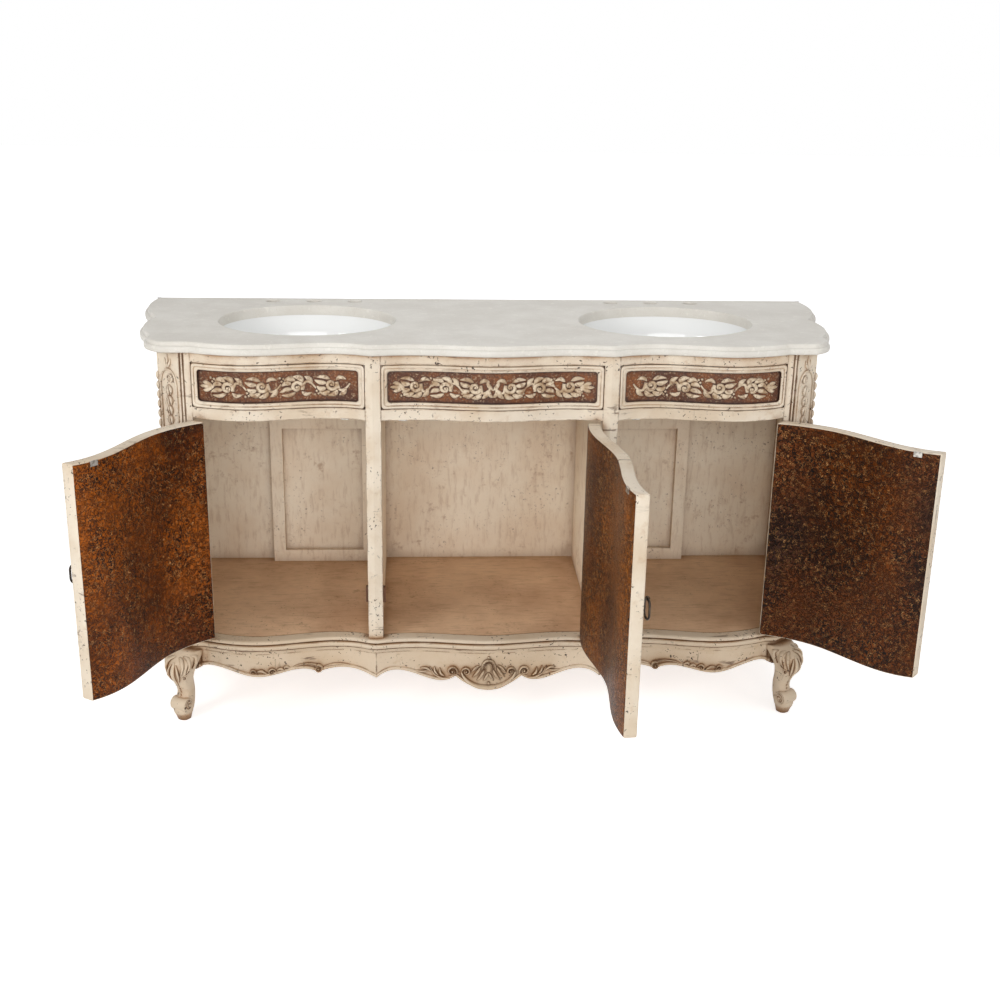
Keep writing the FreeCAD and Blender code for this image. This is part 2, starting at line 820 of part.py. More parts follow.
def make_side_panel(side):
    """A side that splays towards the wall, with an arched lower edge between the legs."""
    name = "side_panel_" + side_name(side)
    outer = side_face(0)
    inner = side_face(size("side_panel_thickness"))
    inner.reverse()
    curves = [outer, Part.LineSegment(outer.EndPoint, inner.StartPoint), inner,
              Part.LineSegment(inner.EndPoint, outer.StartPoint)]
    board = new_body(name + "_board")
    low = "base_top - base_height - side_apron_drop"
    pad(board, board.Name, mirror_curves(curves, side), low, f"total_height - slab_thickness - ({low})")

    arch = new_body(name + "_arch")
    foot = size("base_top") - size("base_height") - size("side_apron_drop")
    rise = foot + size("side_arch_rise")
    margin = size("side_arch_margin")
    near = post_back() + margin
    far = -size("back_thickness") - margin
    sketch = sketch_in(arch, "YZ_Plane", name + "_arch_outline")
    start = Vector(near, foot, 0)
    end = Vector(far, foot, 0)
    draw(sketch, [Part.Arc(start, Vector((near + far) / 2, rise, 0), end), Part.LineSegment(end, start)])
    cutter = arch.newObject("PartDesign::Pad", name + "_arch_pad")
    cutter.Profile = sketch
    bind(cutter, "Length", "slab_rear_lobe_half * 2")
    cutter.SideType = "Symmetric"
    arched = cut(name + "_arched", board, arch)
    return node(cut(name, arched, leg_housing(name, side)), name)


# Rails, false drawer fronts, base and apron of each bay

def make_rails(bay):
    ends = bay_ends(bay)
    top = strip_body("top_rail_" + bay, face_between(bay, *ends, 0), size("top_rail_thickness"),
                     "door_head + mid_rail_height + drawer_height", "top_rail_height")
    node(top, "top_rail_" + bay)
    middle = strip_body("mid_rail_" + bay, face_between(bay, *ends, 0), size("mid_rail_thickness"),
                        "door_head", "mid_rail_height")
    node(middle, "mid_rail_" + bay)


def window(name, left, right, low, height):
    """A block that cuts a window through a curved frame from front to back."""
    item = doc.addObject("Part::Box", name)
    item.Length = right - left
    bind(item, "Width", "case_depth * 2")
    bind(item, "Height", height)
    bind(item, "Placement.Base.y", "-case_depth * 2")
    bind(item, "Placement.Base.z", low)
    item.Placement.Base.x = left
    return item


def make_drawer(bay):
    """A fixed false front: a recessed panel in a moulded frame."""
    left, right = bay_ends(bay)
    width = size("drawer_moulding_width")
    low = "door_head + mid_rail_height"
    inner_low = low + " + drawer_moulding_width"
    inner_height = "drawer_height - 2 * drawer_moulding_width"
    frame = strip_body(f"drawer_moulding_{bay}_strip",
                       face_between(bay, left, right, size("drawer_moulding_proud")),
                       size("drawer_moulding_thickness"), low, "drawer_height")
    opening = window(f"drawer_window_{bay}", left + width, right - width, inner_low, inner_height)
    node(cut("drawer_moulding_" + bay, frame, opening), "drawer_moulding_" + bay)
    panel = strip_body("drawer_front_" + bay,
                       face_between(bay, left + width, right - width, -size("drawer_front_setback")),
                       size("drawer_front_thickness"), inner_low, inner_height)
    node(panel, "drawer_front_" + bay)


def make_base_rail(bay):
    """The base moulding of a bay: two rounded beads over a plain fillet."""
    name = "base_rail_" + bay
    low = "base_top - base_height"
    thickness = size("base_thickness")
    body = new_body(name)
    pad(body, name + "_core", strip(face_to_creases(bay, 0), thickness), low, "base_height")
    proud = size("base_bead_proud")
    pad(body, name + "_upper", strip(face_to_creases(bay, proud), thickness),
        "base_top - base_upper_bead", "base_upper_bead")
    proud = size("base_lower_bead_proud")
    pad(body, name + "_lower", strip(face_to_creases(bay, proud), thickness),
        "base_top - base_upper_bead - base_lower_bead", "base_lower_bead")
    return node(body, name)


def apron_edge(bay):
    """The scalloped lower edge of a bay's apron as x and drop below the base, and its ends."""
    divider = size("divider_spacing") / 2
    cusp = (divider, size("apron_cusp_drop"))

    def point(alias):
        return (size(f"apron_{alias}_half"), size(f"apron_{alias}_drop"))

    if bay == "center":
        notch = (size("apron_shell_half"), size("apron_notch_drop"))
        shell = (0, size("apron_shell_drop"))
        right_half = [[notch, point("leaf"), point("hollow"), cusp]]
        left_half = [[(-x, drop) for x, drop in reversed(right_half[0])]]
        return left_half + [[(-notch[0], notch[1]), shell, notch]] + right_half
    right = [[cusp, point("side_hollow"), point("scroll")],
             [point("scroll"), point("scroll_top"), point("belly"), point("arch"), point("bracket")]]
    if bay == "right":
        return right
    return [[(-x, drop) for x, drop in reversed(run)] for run in reversed(right)]


def make_apron(bay):
    """The shaped apron below the base moulding; beside a leg it is cut back round the leg's top."""
    name = "apron_" + bay
    top = size("base_top") - size("base_height")
    runs = [[Vector(x, top - drop, 0) for x, drop in run] for run in apron_edge(bay)]
    left, right = runs[0][0].x, runs[-1][-1].x
    face = face_to_creases(bay, 0)
    front = -size("case_depth")
    if bay == "left":
        face.insert(0, Part.LineSegment(Vector(left, front, 0), face[0].StartPoint))
    if bay == "right":
        face.append(Part.LineSegment(face[-1].EndPoint, Vector(right, front, 0)))
    drop = "apron_shell_drop"
    band = strip_body(name + "_band", face, size("apron_thickness"), f"base_top - base_height - {drop}", drop)

    cutter = new_body(name + "_cutter")
    sketch = sketch_in(cutter, "XZ_Plane", name + "_edge")
    curves = []
    for run in runs:
        spline = Part.BSplineCurve()
        spline.interpolate(run)
        curves.append(spline)
    foot = -size("apron_shell_drop")
    corners = [runs[-1][-1], Vector(right, foot, 0), Vector(left, foot, 0), runs[0][0]]
    curves += [Part.LineSegment(start, end) for start, end in zip(corners, corners[1:])]
    draw(sketch, curves)
    block = cutter.newObject("PartDesign::Pad", name + "_cutter_pad")
    block.Profile = sketch
    bind(block, "Length", "case_depth * 4")
    block.SideType = "Symmetric"
    scalloped = cut(name if bay == "center" else name + "_scalloped", band, cutter)
    if bay == "center":
        return node(scalloped, name)
    return node(cut(name, scalloped, leg_housing(name, -1 if bay == "left" else 1)), name)


# Doors

def door_layout(bay):
    """A door's two edges in x, the hinge axis, the side of its hinge and its turn when open."""
    left, right = bay_ends(bay)
    slot = 2 * (size("leaf_thickness") + size("leaf_clearance"))
    hinge_side = -1 if bay == "left" else 1
    if hinge_side < 0:
        edges = (left + slot, right - size("door_gap"))
        hinge_edge = edges[0]
    else:
        edges = (left + size("door_gap"), right - slot)
        hinge_edge = edges[1]
    face = slope_at(bay, hinge_edge)[0]
    axis = Vector(hinge_edge + hinge_side * slot / 2, face.y - size("knuckle_stand"), 0)
    return edges, axis, hinge_side, hinge_side * size(f"door_{bay}_open")


def swing(bay):
    """The placement that opens a door about its hinge."""
    edges, axis, hinge_side, turn = door_layout(bay)
    return Placement(Vector(), Rotation(Vector(0, 0, 1), turn), axis)


def make_door(bay):
    """The curved board and the moulding that frames its outer face."""
    (left, right), axis, hinge_side, turn = door_layout(bay)
    name = "door_" + bay
    low = "base_top + door_gap"
    height = "door_head - base_top - 2 * door_gap"
    board = strip_body(name, face_between(bay, left, right, 0), size("door_thickness"), low, height)
    board.Placement = swing(bay)
    node(board, name)

    inset = size("door_moulding_inset")
    width = size("door_moulding_width")
    proud = size("door_moulding_proud")
    strip_low = low + " + door_moulding_inset"
    strip_height = height + " - 2 * door_moulding_inset"
    frame = strip_body(name + "_moulding_strip", face_between(bay, left + inset, right - inset, proud), proud,
                       strip_low, strip_height)
    opening = window(name + "_window", left + inset + width, right - inset - width,
                     strip_low + " + door_moulding_width", strip_height + " - 2 * door_moulding_width")
    moulding = cut(name + "_moulding", frame, opening)
    moulding.Placement = swing(bay)
    node(moulding, name + "_moulding")


# Hinges

def hinge_levels():
    low = size("base_top") + size("door_gap") + size("hinge_inset")
    high = size("door_head") - size("door_gap") - size("hinge_inset") - size("hinge_height")
    return (low, high)


def leaf(name, axis, side, level, bands, bore, face):
    """A hinge leaf on one side of the slot behind a face, with knuckles over the given heights."""
    clearance = size("leaf_clearance")
    near = axis.x + (clearance if side > 0 else -clearance - size("leaf_thickness"))
    plate = doc.addObject("Part::Box", name + "_plate")
    bind(plate, "Length", "leaf_thickness")
    bind(plate, "Width", "leaf_depth")
    bind(plate, "Height", "hinge_height")
    plate.Placement.Base = Vector(near, face, level)
    pieces = [plate]
    for start, length in bands:
        knuckle = doc.addObject("Part::Cylinder", name + "_knuckle")
        bind(knuckle, "Radius", "knuckle_radius")
        knuckle.Height = length
        knuckle.Placement.Base = Vector(axis.x, axis.y, level + start)
        neck = doc.addObject("Part::Box", name + "_neck")
        bind(neck, "Length", "leaf_thickness")
        neck.Width = face - axis.y
        neck.Height = length
        neck.Placement.Base = Vector(near, axis.y, level + start)
        pieces += [knuckle, neck]
    hole = cylinder(name + "_bore", bore, "hinge_height", Vector(axis.x, axis.y, level))
    return cut(name, fuse(name + "_solid", pieces), hole)


def make_hinges():
    """Butt hinges: leaves on the case, leaves on the doors, and the pins between them."""
    height = size("hinge_height")
    gap = size("knuckle_gap")
    third = height / 3
    outer_bands = ((0, third - gap / 2), (2 * third + gap / 2, third - gap / 2))
    middle_band = ((third + gap / 2, third - gap),)
    fixed = []
    pins = []
    for bay in ("left", "center", "right"):
        edges, axis, hinge_side, turn = door_layout(bay)
        door_face = axis.y + size("knuckle_stand")
        case_face = max(door_face, -bay_points(bay)[0 if hinge_side < 0 else -1][1])
        moving = []
        for step, level in enumerate(hinge_levels()):
            mark = f"{bay}_{step}"
            fixed.append(leaf("case_leaf_" + mark, axis, hinge_side, level, outer_bands,
                              "pin_radius + pin_fit", case_face))
            moving.append(leaf("door_leaf_" + mark, axis, -hinge_side, level, middle_band,
                               "pin_radius + pin_clearance", door_face))
            shank = cylinder("pin_shank_" + mark, "pin_radius", "hinge_height",
                             Vector(axis.x, axis.y, level))
            head = cylinder("pin_head_" + mark, "pin_head_radius", "pin_head_height",
                            Vector(axis.x, axis.y, level + height))
            pins.append(fuse("pin_" + mark, [shank, head]))
        leaves = group(f"door_{bay}_hinge_leaves", moving)
        leaves.Placement = swing(bay)
        node(leaves, f"door_{bay}_hinge_leaves")
    node(group("hinge_leaves", fixed), "hinge_leaves")
    node(group("hinge_pins", pins), "hinge_pins")


# Pulls, strikes, catches and stops

OUTWARD = Rotation(Vector(1, 0, 0), 90)


def on_door(bay, inset):
    """The x of a fitting on a door, measured from the door's free edge."""
    (left, right), axis, hinge_side, turn = door_layout(bay)
    return right - inset if hinge_side < 0 else left + inset


def pull_place(bay):
    """Where a pull's post meets the door's outer face, with Y normal to the face."""
    point, slope = slope_at(bay, on_door(bay, size("pull_inset")))
    point.z = size("pull_height")
    seat = Placement(Vector(0, -size("pull_seat"), 0), Rotation())
    return swing(bay) * Placement(point, Rotation(Vector(0, 0, 1), slope)) * seat


def make_pull(bay):
    """A rosette with a drilled post, and the ring that hangs in it."""
    name = f"door_{bay}_pull"
    rosette = cylinder(name + "_rosette", "pull_plate_radius", "pull_plate_thickness", Vector(), OUTWARD)
    post = cylinder(name + "_post", "pull_post_radius", "pull_post_length", Vector(), OUTWARD)
    eye = cylinder(name + "_eye", "ring_wire_radius + ring_clearance", "pull_post_radius * 4",
                   Vector(-2 * size("pull_post_radius"), -size("pull_pivot_stand"), 0),
                   Rotation(Vector(0, 1, 0), 90))
    plate = cut(name + "_plate", fuse(name + "_plate_solid", [rosette, post]), eye)
    plate.Placement = pull_place(bay)
    node(plate, name + "_plate")

    ring = new_body(name + "_ring")
    radius = size("ring_radius")
    low = -radius - size("ring_straight")
    path = sketch_in(ring, "XZ_Plane", name + "_path", "pull_pivot_stand")
    top = [Vector(-radius, -radius, 0), Vector(0, 0, 0), Vector(radius, -radius, 0)]
    bottom = [Vector(radius, low, 0), Vector(0, low - radius, 0), Vector(-radius, low, 0)]
    draw(path, [Part.Arc(*top), Part.LineSegment(top[2], bottom[0]), Part.Arc(*bottom),
                Part.LineSegment(bottom[2], top[0])])
    wire = sketch_in(ring, "YZ_Plane", name + "_wire")
    center = Vector(-size("pull_pivot_stand"), 0, 0)
    wire.addGeometry(Part.Circle(center, Vector(0, 0, 1), size("ring_wire_radius")), False)
    sweep = ring.newObject("PartDesign::AdditivePipe", name + "_sweep")
    sweep.Profile = wire
    sweep.Spine = path
    ring.Placement = pull_place(bay)
    node(ring, name + "_ring")


def make_catches():
    """A strike on each door's inner face, and the catch for it under the rail."""
    catches = []
    for bay in ("left", "center", "right"):
        x = on_door(bay, size("strike_inset"))
        point, slope = slope_at(bay, x)
        point.y += size("door_thickness")
        turn = Rotation(Vector(0, 0, 1), slope)
        half = size("strike_length") / 2
        strike = doc.addObject("Part::Box", f"door_{bay}_strike")
        bind(strike, "Length", "strike_length")
        bind(strike, "Width", "strike_thickness")
        bind(strike, "Height", "strike_height")
        point.z = size("door_head") - size("door_gap") - size("strike_height")
        local = Placement(point, turn) * Placement(Vector(-half, size("strike_clearance"), 0), Rotation())
        strike.Placement = swing(bay) * local
        node(strike, f"door_{bay}_strike")

        catch = doc.addObject("Part::Box", f"catch_{bay}")
        bind(catch, "Length", "strike_length")
        bind(catch, "Width", "catch_depth")
        bind(catch, "Height", "catch_height")
        point.z = size("door_head") - size("catch_height")
        behind = size("strike_thickness") + 2 * size("strike_clearance")
        catch.Placement = Placement(point, turn) * Placement(Vector(-half, behind, 0), Rotation())
        catches.append(catch)
    node(group("door_catches", catches), "door_catches")


def make_stops():
    """Small blocks on the divider stiles that the free edges of the doors close against."""
    stops = []
    width = size("stop_width")
    for bay in ("left", "center", "right"):
        left, right = bay_ends(bay)
        near, far = (right - width, right - width) if bay == "left" else (left, left + width)
        face = slope_at(bay, far)[0].y
        stop = doc.addObject("Part::Box", "stop_" + bay)
        bind(stop, "Length", "stop_width")
        bind(stop, "Width", "stop_depth")
        bind(stop, "Height", "stop_height")
        stop.Placement.Base = Vector(near, face + size("door_thickness") + size("stop_clearance"),
                                     size("stop_place"))
        stops.append(stop)
    node(group("door_stops", stops), "door_stops")


# The whole vanity

make_countertop()
make_basin_clips()
make_bottom_panel()
make_back_panel()
for hand in (-1, 1):
    make_basin(hand)
    make_divider(hand)
    make_access_panel(hand)
    make_post(hand)
    make_front_leg(hand)
    make_back_leg(hand)
    make_side_panel(hand)
for bay_name in ("left", "center", "right"):
    make_rails(bay_name)
    make_drawer(bay_name)
    make_base_rail(bay_name)
    make_apron(bay_name)
    make_door(bay_name)
    make_pull(bay_name)
make_hinges()
make_catches()
make_stops()
doc.recompute()

for item in doc.Objects:
    if "Invalid" in item.State or "Error" in item.State:
        raise ValueError(f"{item.Label} failed: {item.State}")
for item in nodes:
    if item.Shape.isNull() or not item.Shape.isValid() or not item.Shape.Solids:
        raise ValueError(item.Label + " has no valid shape")

os.makedirs("parts", exist_ok=True)
for item in nodes:
    item.Shape.exportStep(f"parts/{item.Label}.step")
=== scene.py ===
import json
from math import ceil, copysign, cos, dist, pi, radians, sin, sqrt

import bmesh
import bpy
from mathutils import Matrix, Vector, noise
from mathutils.bvhtree import BVHTree
from mathutils.geometry import tessellate_polygon
from numpy import interp


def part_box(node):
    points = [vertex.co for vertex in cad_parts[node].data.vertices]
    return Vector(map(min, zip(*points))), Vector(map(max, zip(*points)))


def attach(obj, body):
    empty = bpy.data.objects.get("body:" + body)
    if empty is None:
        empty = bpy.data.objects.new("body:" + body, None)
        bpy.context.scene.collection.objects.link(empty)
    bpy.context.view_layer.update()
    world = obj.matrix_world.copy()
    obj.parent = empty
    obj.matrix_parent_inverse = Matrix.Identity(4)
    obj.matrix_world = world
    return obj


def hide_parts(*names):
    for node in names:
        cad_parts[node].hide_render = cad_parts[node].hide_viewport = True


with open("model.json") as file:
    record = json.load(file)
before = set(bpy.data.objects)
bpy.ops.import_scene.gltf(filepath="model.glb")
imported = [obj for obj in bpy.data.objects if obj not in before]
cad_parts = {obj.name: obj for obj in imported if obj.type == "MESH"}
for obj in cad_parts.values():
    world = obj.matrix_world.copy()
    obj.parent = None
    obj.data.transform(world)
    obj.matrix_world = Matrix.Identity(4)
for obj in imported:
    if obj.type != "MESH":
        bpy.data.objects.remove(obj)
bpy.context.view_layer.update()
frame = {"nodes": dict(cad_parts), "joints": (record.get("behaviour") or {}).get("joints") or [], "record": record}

# Lengths are in metres. X is to the right, Y towards the wall and Z up, as in the CAD frame.
BAYS = ("left", "center", "right")
SIDES = (("left", -1), ("right", 1))


# Materials

def srgb(red, green, blue):
    """A display colour from 0 to 255 as the linear colour that shaders take."""
    def linear(value):
        share = value / 255
        return share / 12.92 if share <= 0.04045 else ((share + 0.055) / 1.055) ** 2.4

    return (linear(red), linear(green), linear(blue), 1.0)


class Nodes:
    """A node tree with short ways to add to it."""

    def __init__(self, tree):
        self.tree = tree

    def add(self, kind, inputs=(), **settings):
        item = self.tree.nodes.new(kind)
        for key, value in settings.items():
            setattr(item, key, value)
        for key, value in dict(inputs).items():
            self.feed(item.inputs[key], value)
        return item

    def feed(self, socket, value):
        if isinstance(value, bpy.types.NodeSocket):
            self.tree.links.new(value, socket)
        else:
            socket.default_value = value

    def combine(self, operation, *values):
        return self.add("ShaderNodeMath", enumerate(values), operation=operation).outputs[0]

    def times(self, first, second):
        return self.combine("MULTIPLY", first, second)

    def most(self, first, second):
        return self.combine("MAXIMUM", first, second)

    def ramp(self, value, low, high, start=0, kind="LINEAR"):
        """A rise from start, where value is low, to 1, where it is high."""
        inputs = {"Value": value, "From Min": low, "From Max": high, "To Min": start}
        return self.add("ShaderNodeMapRange", inputs, interpolation_type=kind).outputs["Result"]

    def seen(self):
        """1 where the camera sees a place, also in a reflection. Nothing here is clear."""
        rays = self.add("ShaderNodeLightPath").outputs
        return self.most(rays["Is Camera Ray"], rays["Is Glossy Ray"])


class Paint(Nodes):
    """A material that is built up in coats."""

    def __init__(self, name, roughness, **shader):
        self.material = bpy.data.materials.new(name)
        self.material.use_nodes = True
        super().__init__(self.material.node_tree)
        self.shader = self.tree.nodes["Principled BSDF"]
        for socket, value in {"Roughness": roughness, **shader}.items():
            self.shader.inputs[socket.replace("_", " ")].default_value = value
        self.place = self.add("ShaderNodeTexCoord").outputs["Object"]

    def stretched(self, x, y, z):
        return self.add("ShaderNodeMapping", {"Vector": self.place, "Scale": (x, y, z)}).outputs["Vector"]

    def wobbled(self, scale, amount):
        """The place, pushed about by noise."""
        cloud = self.add("ShaderNodeTexNoise", {"Vector": self.place, "Scale": scale, "Detail": 3})
        inputs = {0: cloud.outputs["Color"], 1: (amount, amount, amount), 2: self.place}
        return self.add("ShaderNodeVectorMath", inputs, operation="MULTIPLY_ADD").outputs[0]

    def noise(self, scale, detail=4, roughness=0.55, distortion=0.0, place=None):
        inputs = {"Vector": place or self.place, "Scale": scale, "Detail": detail,
                  "Roughness": roughness, "Distortion": distortion}
        return self.add("ShaderNodeTexNoise", inputs).outputs["Fac"]

    def step(self, value, low, high):
        """0 below low and 1 above high, or the other way round where low is the larger."""
        return self.ramp(value, low, high, kind="SMOOTHSTEP")

    def patches(self, low, high, *cloud):
        """Noise that is drawn apart into patches between low and high."""
        return self.step(self.noise(*cloud), low, high)

    def mix(self, factor, first, second):
        return self.add("ShaderNodeMix", {0: factor, 6: first, 7: second}, data_type="RGBA").outputs[2]

    def edges(self, radius):
        """1 on sharp edges and 0 on flats: how far a rounded normal turns away from the true one."""
        rounded = self.add("ShaderNodeBevel", {"Radius": radius}, samples=6).outputs["Normal"]
        plain = self.add("ShaderNodeNewGeometry").outputs["Normal"]
        turn = self.add("ShaderNodeVectorMath", {0: rounded, 1: plain}, operation="DOT_PRODUCT")
        return self.step(turn.outputs["Value"], 0.99, 0.86)

    def shelter(self, distance):
        """1 out in the open and less in a hollow."""
        return self.add("ShaderNodeAmbientOcclusion", {"Distance": distance}, samples=8).outputs["AO"]

    def lay(self, tint):
        self.tint = tint
        self.feed(self.shader.inputs["Base Color"], tint)

    def ground(self, share, first, second):
        """The first coat: two display colours, mixed by share."""
        self.lay(self.mix(share, srgb(*first), srgb(*second)))

    def coat(self, mask, share, colour):
        """A display colour laid where the mask is, as thickly as share says."""
        self.lay(self.mix(self.times(mask, share), self.tint, srgb(*colour)))

    def finish(self, height, distance, strength=1.0):
        """The material, with a bumpy surface."""
        inputs = {"Height": height, "Distance": distance, "Strength": strength}
        self.feed(self.shader.inputs["Normal"], self.add("ShaderNodeBump", inputs).outputs["Normal"])
        return self.material


def cream_paint(name, wash, glaze_and_shade):
    """Cream paint: mottled, glazed brown in the carving and darkened there with painted shade, flecked, and rubbed
    through along the edges.
    """
    paint = Paint(name, 0.5, Specular_IOR_Level=0.3)
    paint.ground(paint.patches(0.4, 0.68, 6, 5), (223, 210, 191), (207, 188, 163))
    paint.coat(paint.patches(0.54, 0.74, 34, 6, 0.65), 0.5, (186, 155, 120))
    height = paint.add("ShaderNodeSeparateXYZ", {0: paint.place}).outputs["Z"]
    # Tan low down, fading out between 0.16 m and 0.3 m up.
    paint.coat(paint.step(height, 0.3, 0.16), 0.5, (196, 170, 138))
    # The two brown coats in the hollows below are partly the real brown glaze and partly painted shade.
    shelter = paint.shelter(0.024)
    washed_and_shaded = paint.times(paint.step(shelter, 0.97, 0.72), paint.patches(0.3, 0.6, 16, 5))
    paint.coat(washed_and_shaded, wash, (158, 118, 80))
    paint.coat(paint.step(shelter, 0.76, 0.4), glaze_and_shade, (108, 74, 44))
    level = paint.patches(0.6, 0.66, 60, 5, 0.65, 0.0, paint.stretched(0.1, 1, 1))
    upright = paint.patches(0.62, 0.68, 60, 5, 0.65, 0.0, paint.stretched(1, 1, 0.1))
    rubbed = paint.times(paint.most(level, upright), paint.patches(0.48, 0.62, 8, 4))
    paint.coat(rubbed, 0.8, (104, 80, 62))
    flecks = paint.patches(0.64, 0.68, 150, 2, 0.5, 0.6)
    paint.coat(flecks, paint.patches(0.44, 0.58, 11, 3), (54, 38, 28))
    wear = paint.times(paint.edges(0.005), paint.patches(0.44, 0.6, 30, 5))
    paint.coat(wear, 0.8, (104, 74, 48))
    return paint.finish(paint.noise(140, 5), 0.0008, 0.5)


def worms(paint, scale, place):
    """How far a point is from the winding cracks in thick paint."""
    cloud = paint.noise(scale, 2, 0.5, 0.8, place)
    return paint.combine("ABSOLUTE", paint.combine("SUBTRACT", cloud, 0.5))


def crackle_paint(name, dark, light):
    """Amber and brown paint that has shrunk into winding cracks, with painted highlights as pale edges beside
    them, heavier in some places.
    """
    paint = Paint(name, 0.38, Specular_IOR_Level=0.14)
    paint.ground(paint.patches(0.3, 0.66, 5.5, 4, 0.55, 0.0, paint.stretched(1, 1, 0.6)), dark, light)
    paint.coat(paint.patches(0.42, 0.72, 34, 5, 0.7), 0.4, (50, 22, 8))
    heavy = paint.ramp(paint.noise(9, 3), 0.36, 0.58, 0.4)
    place = paint.wobbled(50, 0.006)
    wide = worms(paint, 125, place)
    fine = worms(paint, 240, place)
    cracks = paint.most(paint.step(wide, 0.055, 0.02), paint.times(paint.step(fine, 0.06, 0.015), 0.7))
    paint.coat(cracks, heavy, (14, 6, 3))
    # Painted highlights: pale bands along both sides of the cracks, standing in for their edges catching the
    # light.
    painted_glints = paint.times(paint.step(wide, 0.05, 0.07), paint.step(wide, 0.115, 0.085))
    painted_glints = paint.times(paint.times(painted_glints, heavy), paint.patches(0.49, 0.6, 90, 3))
    paint.coat(painted_glints, 0.7, (214, 158, 100))
    paint.coat(paint.edges(0.004), 0.5, (36, 19, 9))
    furrows = paint.most(paint.step(wide, 0.0, 0.1), paint.times(paint.step(fine, 0.0, 0.1), 0.5))
    return paint.finish(furrows, 0.004)


def panel_paint():
    """Brown paint, dry-brushed with pale specks and darkened towards the frame with painted shade."""
    paint = Paint("crackle_panel", 0.42, Specular_IOR_Level=0.3)
    paint.ground(paint.patches(0.36, 0.66, 14, 5, 0.6), (84, 44, 20), (134, 78, 38))
    paint.coat(paint.patches(0.54, 0.66, 210, 3, 0.6), 0.55, (196, 168, 134))
    pits = paint.step(worms(paint, 130, paint.wobbled(60, 0.006)), 0.05, 0.012)
    paint.coat(pits, 0.7, (58, 32, 18))
    # Painted shade in the recess along the frame.
    paint.coat(paint.step(paint.shelter(0.04), 0.97, 0.62), 0.94, (40, 21, 16))
    return paint.finish(paint.noise(170, 4, 0.6), 0.0016, 0.8)


def relief_paint():
    """Pale paint on the drawers' scrolls, flecked with brown and darkened with painted brown shade in the hollows.
    """
    paint = Paint("relief_paint", 0.5)
    paint.ground(paint.patches(0.38, 0.66, 45, 5), (214, 196, 170), (168, 140, 108))
    # Painted shade: brown in the hollows of the relief.
    paint.coat(paint.step(paint.shelter(0.008), 0.85, 0.35), 0.85, (96, 60, 34))
    paint.coat(paint.patches(0.52, 0.64, 150, 4), 0.7, (116, 78, 46))
    return paint.finish(paint.noise(260, 4), 0.0006, 0.6)


def stone():
    """Honed limestone with a fine grain and pale clouds."""
    paint = Paint("stone", 0.42, Specular_IOR_Level=0.12)
    paint.ground(paint.patches(0.35, 0.7, 9, 6, 0.6), (213, 208, 199), (224, 220, 212))
    paint.coat(paint.patches(0.55, 0.72, 420, 3), 0.35, (190, 178, 158))
    paint.coat(paint.patches(0.6, 0.7, 60, 3, 0.5, 0.5), 0.3, (242, 238, 228))
    return paint.finish(paint.noise(500, 3), 0.0002, 0.3)


def china():
    """White glaze with a trace of unevenness."""
    paint = Paint("china", 0.08, Coat_Weight=0.5)
    paint.ground(paint.noise(5, 2), (252, 252, 251), (246, 247, 246))
    return paint.finish(paint.noise(14, 2), 0.0004, 0.2)


def bronze():
    """Dark bronze, rubbed brighter along the edges."""
    paint = Paint("bronze", 0.38, Metallic=0.85)
    paint.ground(paint.patches(0.4, 0.65, 90, 4), (52, 46, 42), (78, 66, 54))
    paint.coat(paint.edges(0.0012), 0.7, (120, 98, 74))
    return paint.finish(paint.noise(350, 3), 0.0003, 0.4)


def steel():
    """Plain plated steel, a little spotted."""
    paint = Paint("steel", 0.34, Metallic=0.9)
    paint.ground(paint.patches(0.42, 0.66, 120, 4), (186, 182, 174), (128, 122, 114))
    return paint.finish(paint.noise(600, 2), 0.0002, 0.3)


def washed_board(name, light, dark, scuff, grain):
    """A thin wash over board, with rubbed stains, darker grain and painted shade in its corners."""
    paint = Paint(name, 0.55, Specular_IOR_Level=0.3)
    paint.ground(paint.patches(0.36, 0.7, 4.2, 6, 0.62), light, dark)
    paint.coat(paint.patches(0.48, 0.7, 20, 6, 0.65, 0.0, paint.stretched(*grain)), 0.28, scuff)
    rubs = paint.times(paint.patches(0.54, 0.72, 30, 7, 0.75), paint.patches(0.4, 0.6, 5, 3))
    paint.coat(rubs, 0.62, scuff)
    flecks = paint.times(paint.patches(0.6, 0.68, 130, 4, 0.7), paint.patches(0.46, 0.6, 7, 3))
    paint.coat(flecks, 0.6, (110, 74, 48))
    # Painted shade in the corners.
    paint.coat(paint.step(paint.shelter(0.05), 0.85, 0.35), 0.5, (140, 98, 60))
    return paint.finish(paint.noise(120, 5), 0.0005, 0.4)


def bare_wood():
    """Plain brown wood of the door stops."""
    paint = Paint("bare_wood", 0.6)
    grain = paint.noise(30, 5, 0.6, 0.6, paint.stretched(1, 1, 0.12))
    paint.ground(paint.step(grain, 0.35, 0.65), (120, 78, 46), (84, 52, 30))
    return paint.finish(grain, 0.0006, 0.4)


# The posts' brown coats in the hollows, partly glaze and partly painted shade, are at half strength.
POST_CREAM = cream_paint("post_paint", 0.5, 0.5)
CRACKLE_DOOR = {"left": crackle_paint("crackle_left", (80, 34, 6), (166, 86, 18)),
                "center": crackle_paint("crackle_center", (82, 38, 8), (158, 88, 22)),
                "right": crackle_paint("crackle_right", (48, 22, 7), (110, 56, 14))}
RELIEF = relief_paint()
BOARD = washed_board("washed_board", (252, 240, 220), (240, 221, 197), (174, 136, 102), (5, 1, 1))
FLOOR_BOARD = washed_board("worn_board", (230, 194, 158), (200, 160, 126), (136, 96, 68), (1, 5, 1))
SLOT_PAINT = {"stone": stone(), "china": china(), "crackle_panel": panel_paint(),
              "crackle_door": CRACKLE_DOOR["left"], "bronze": bronze(), "steel": steel(),
              "inside_board": BOARD, "stop_block": bare_wood(),
              "painted_wood": cream_paint("cream_paint", 0.85, 0.85)}


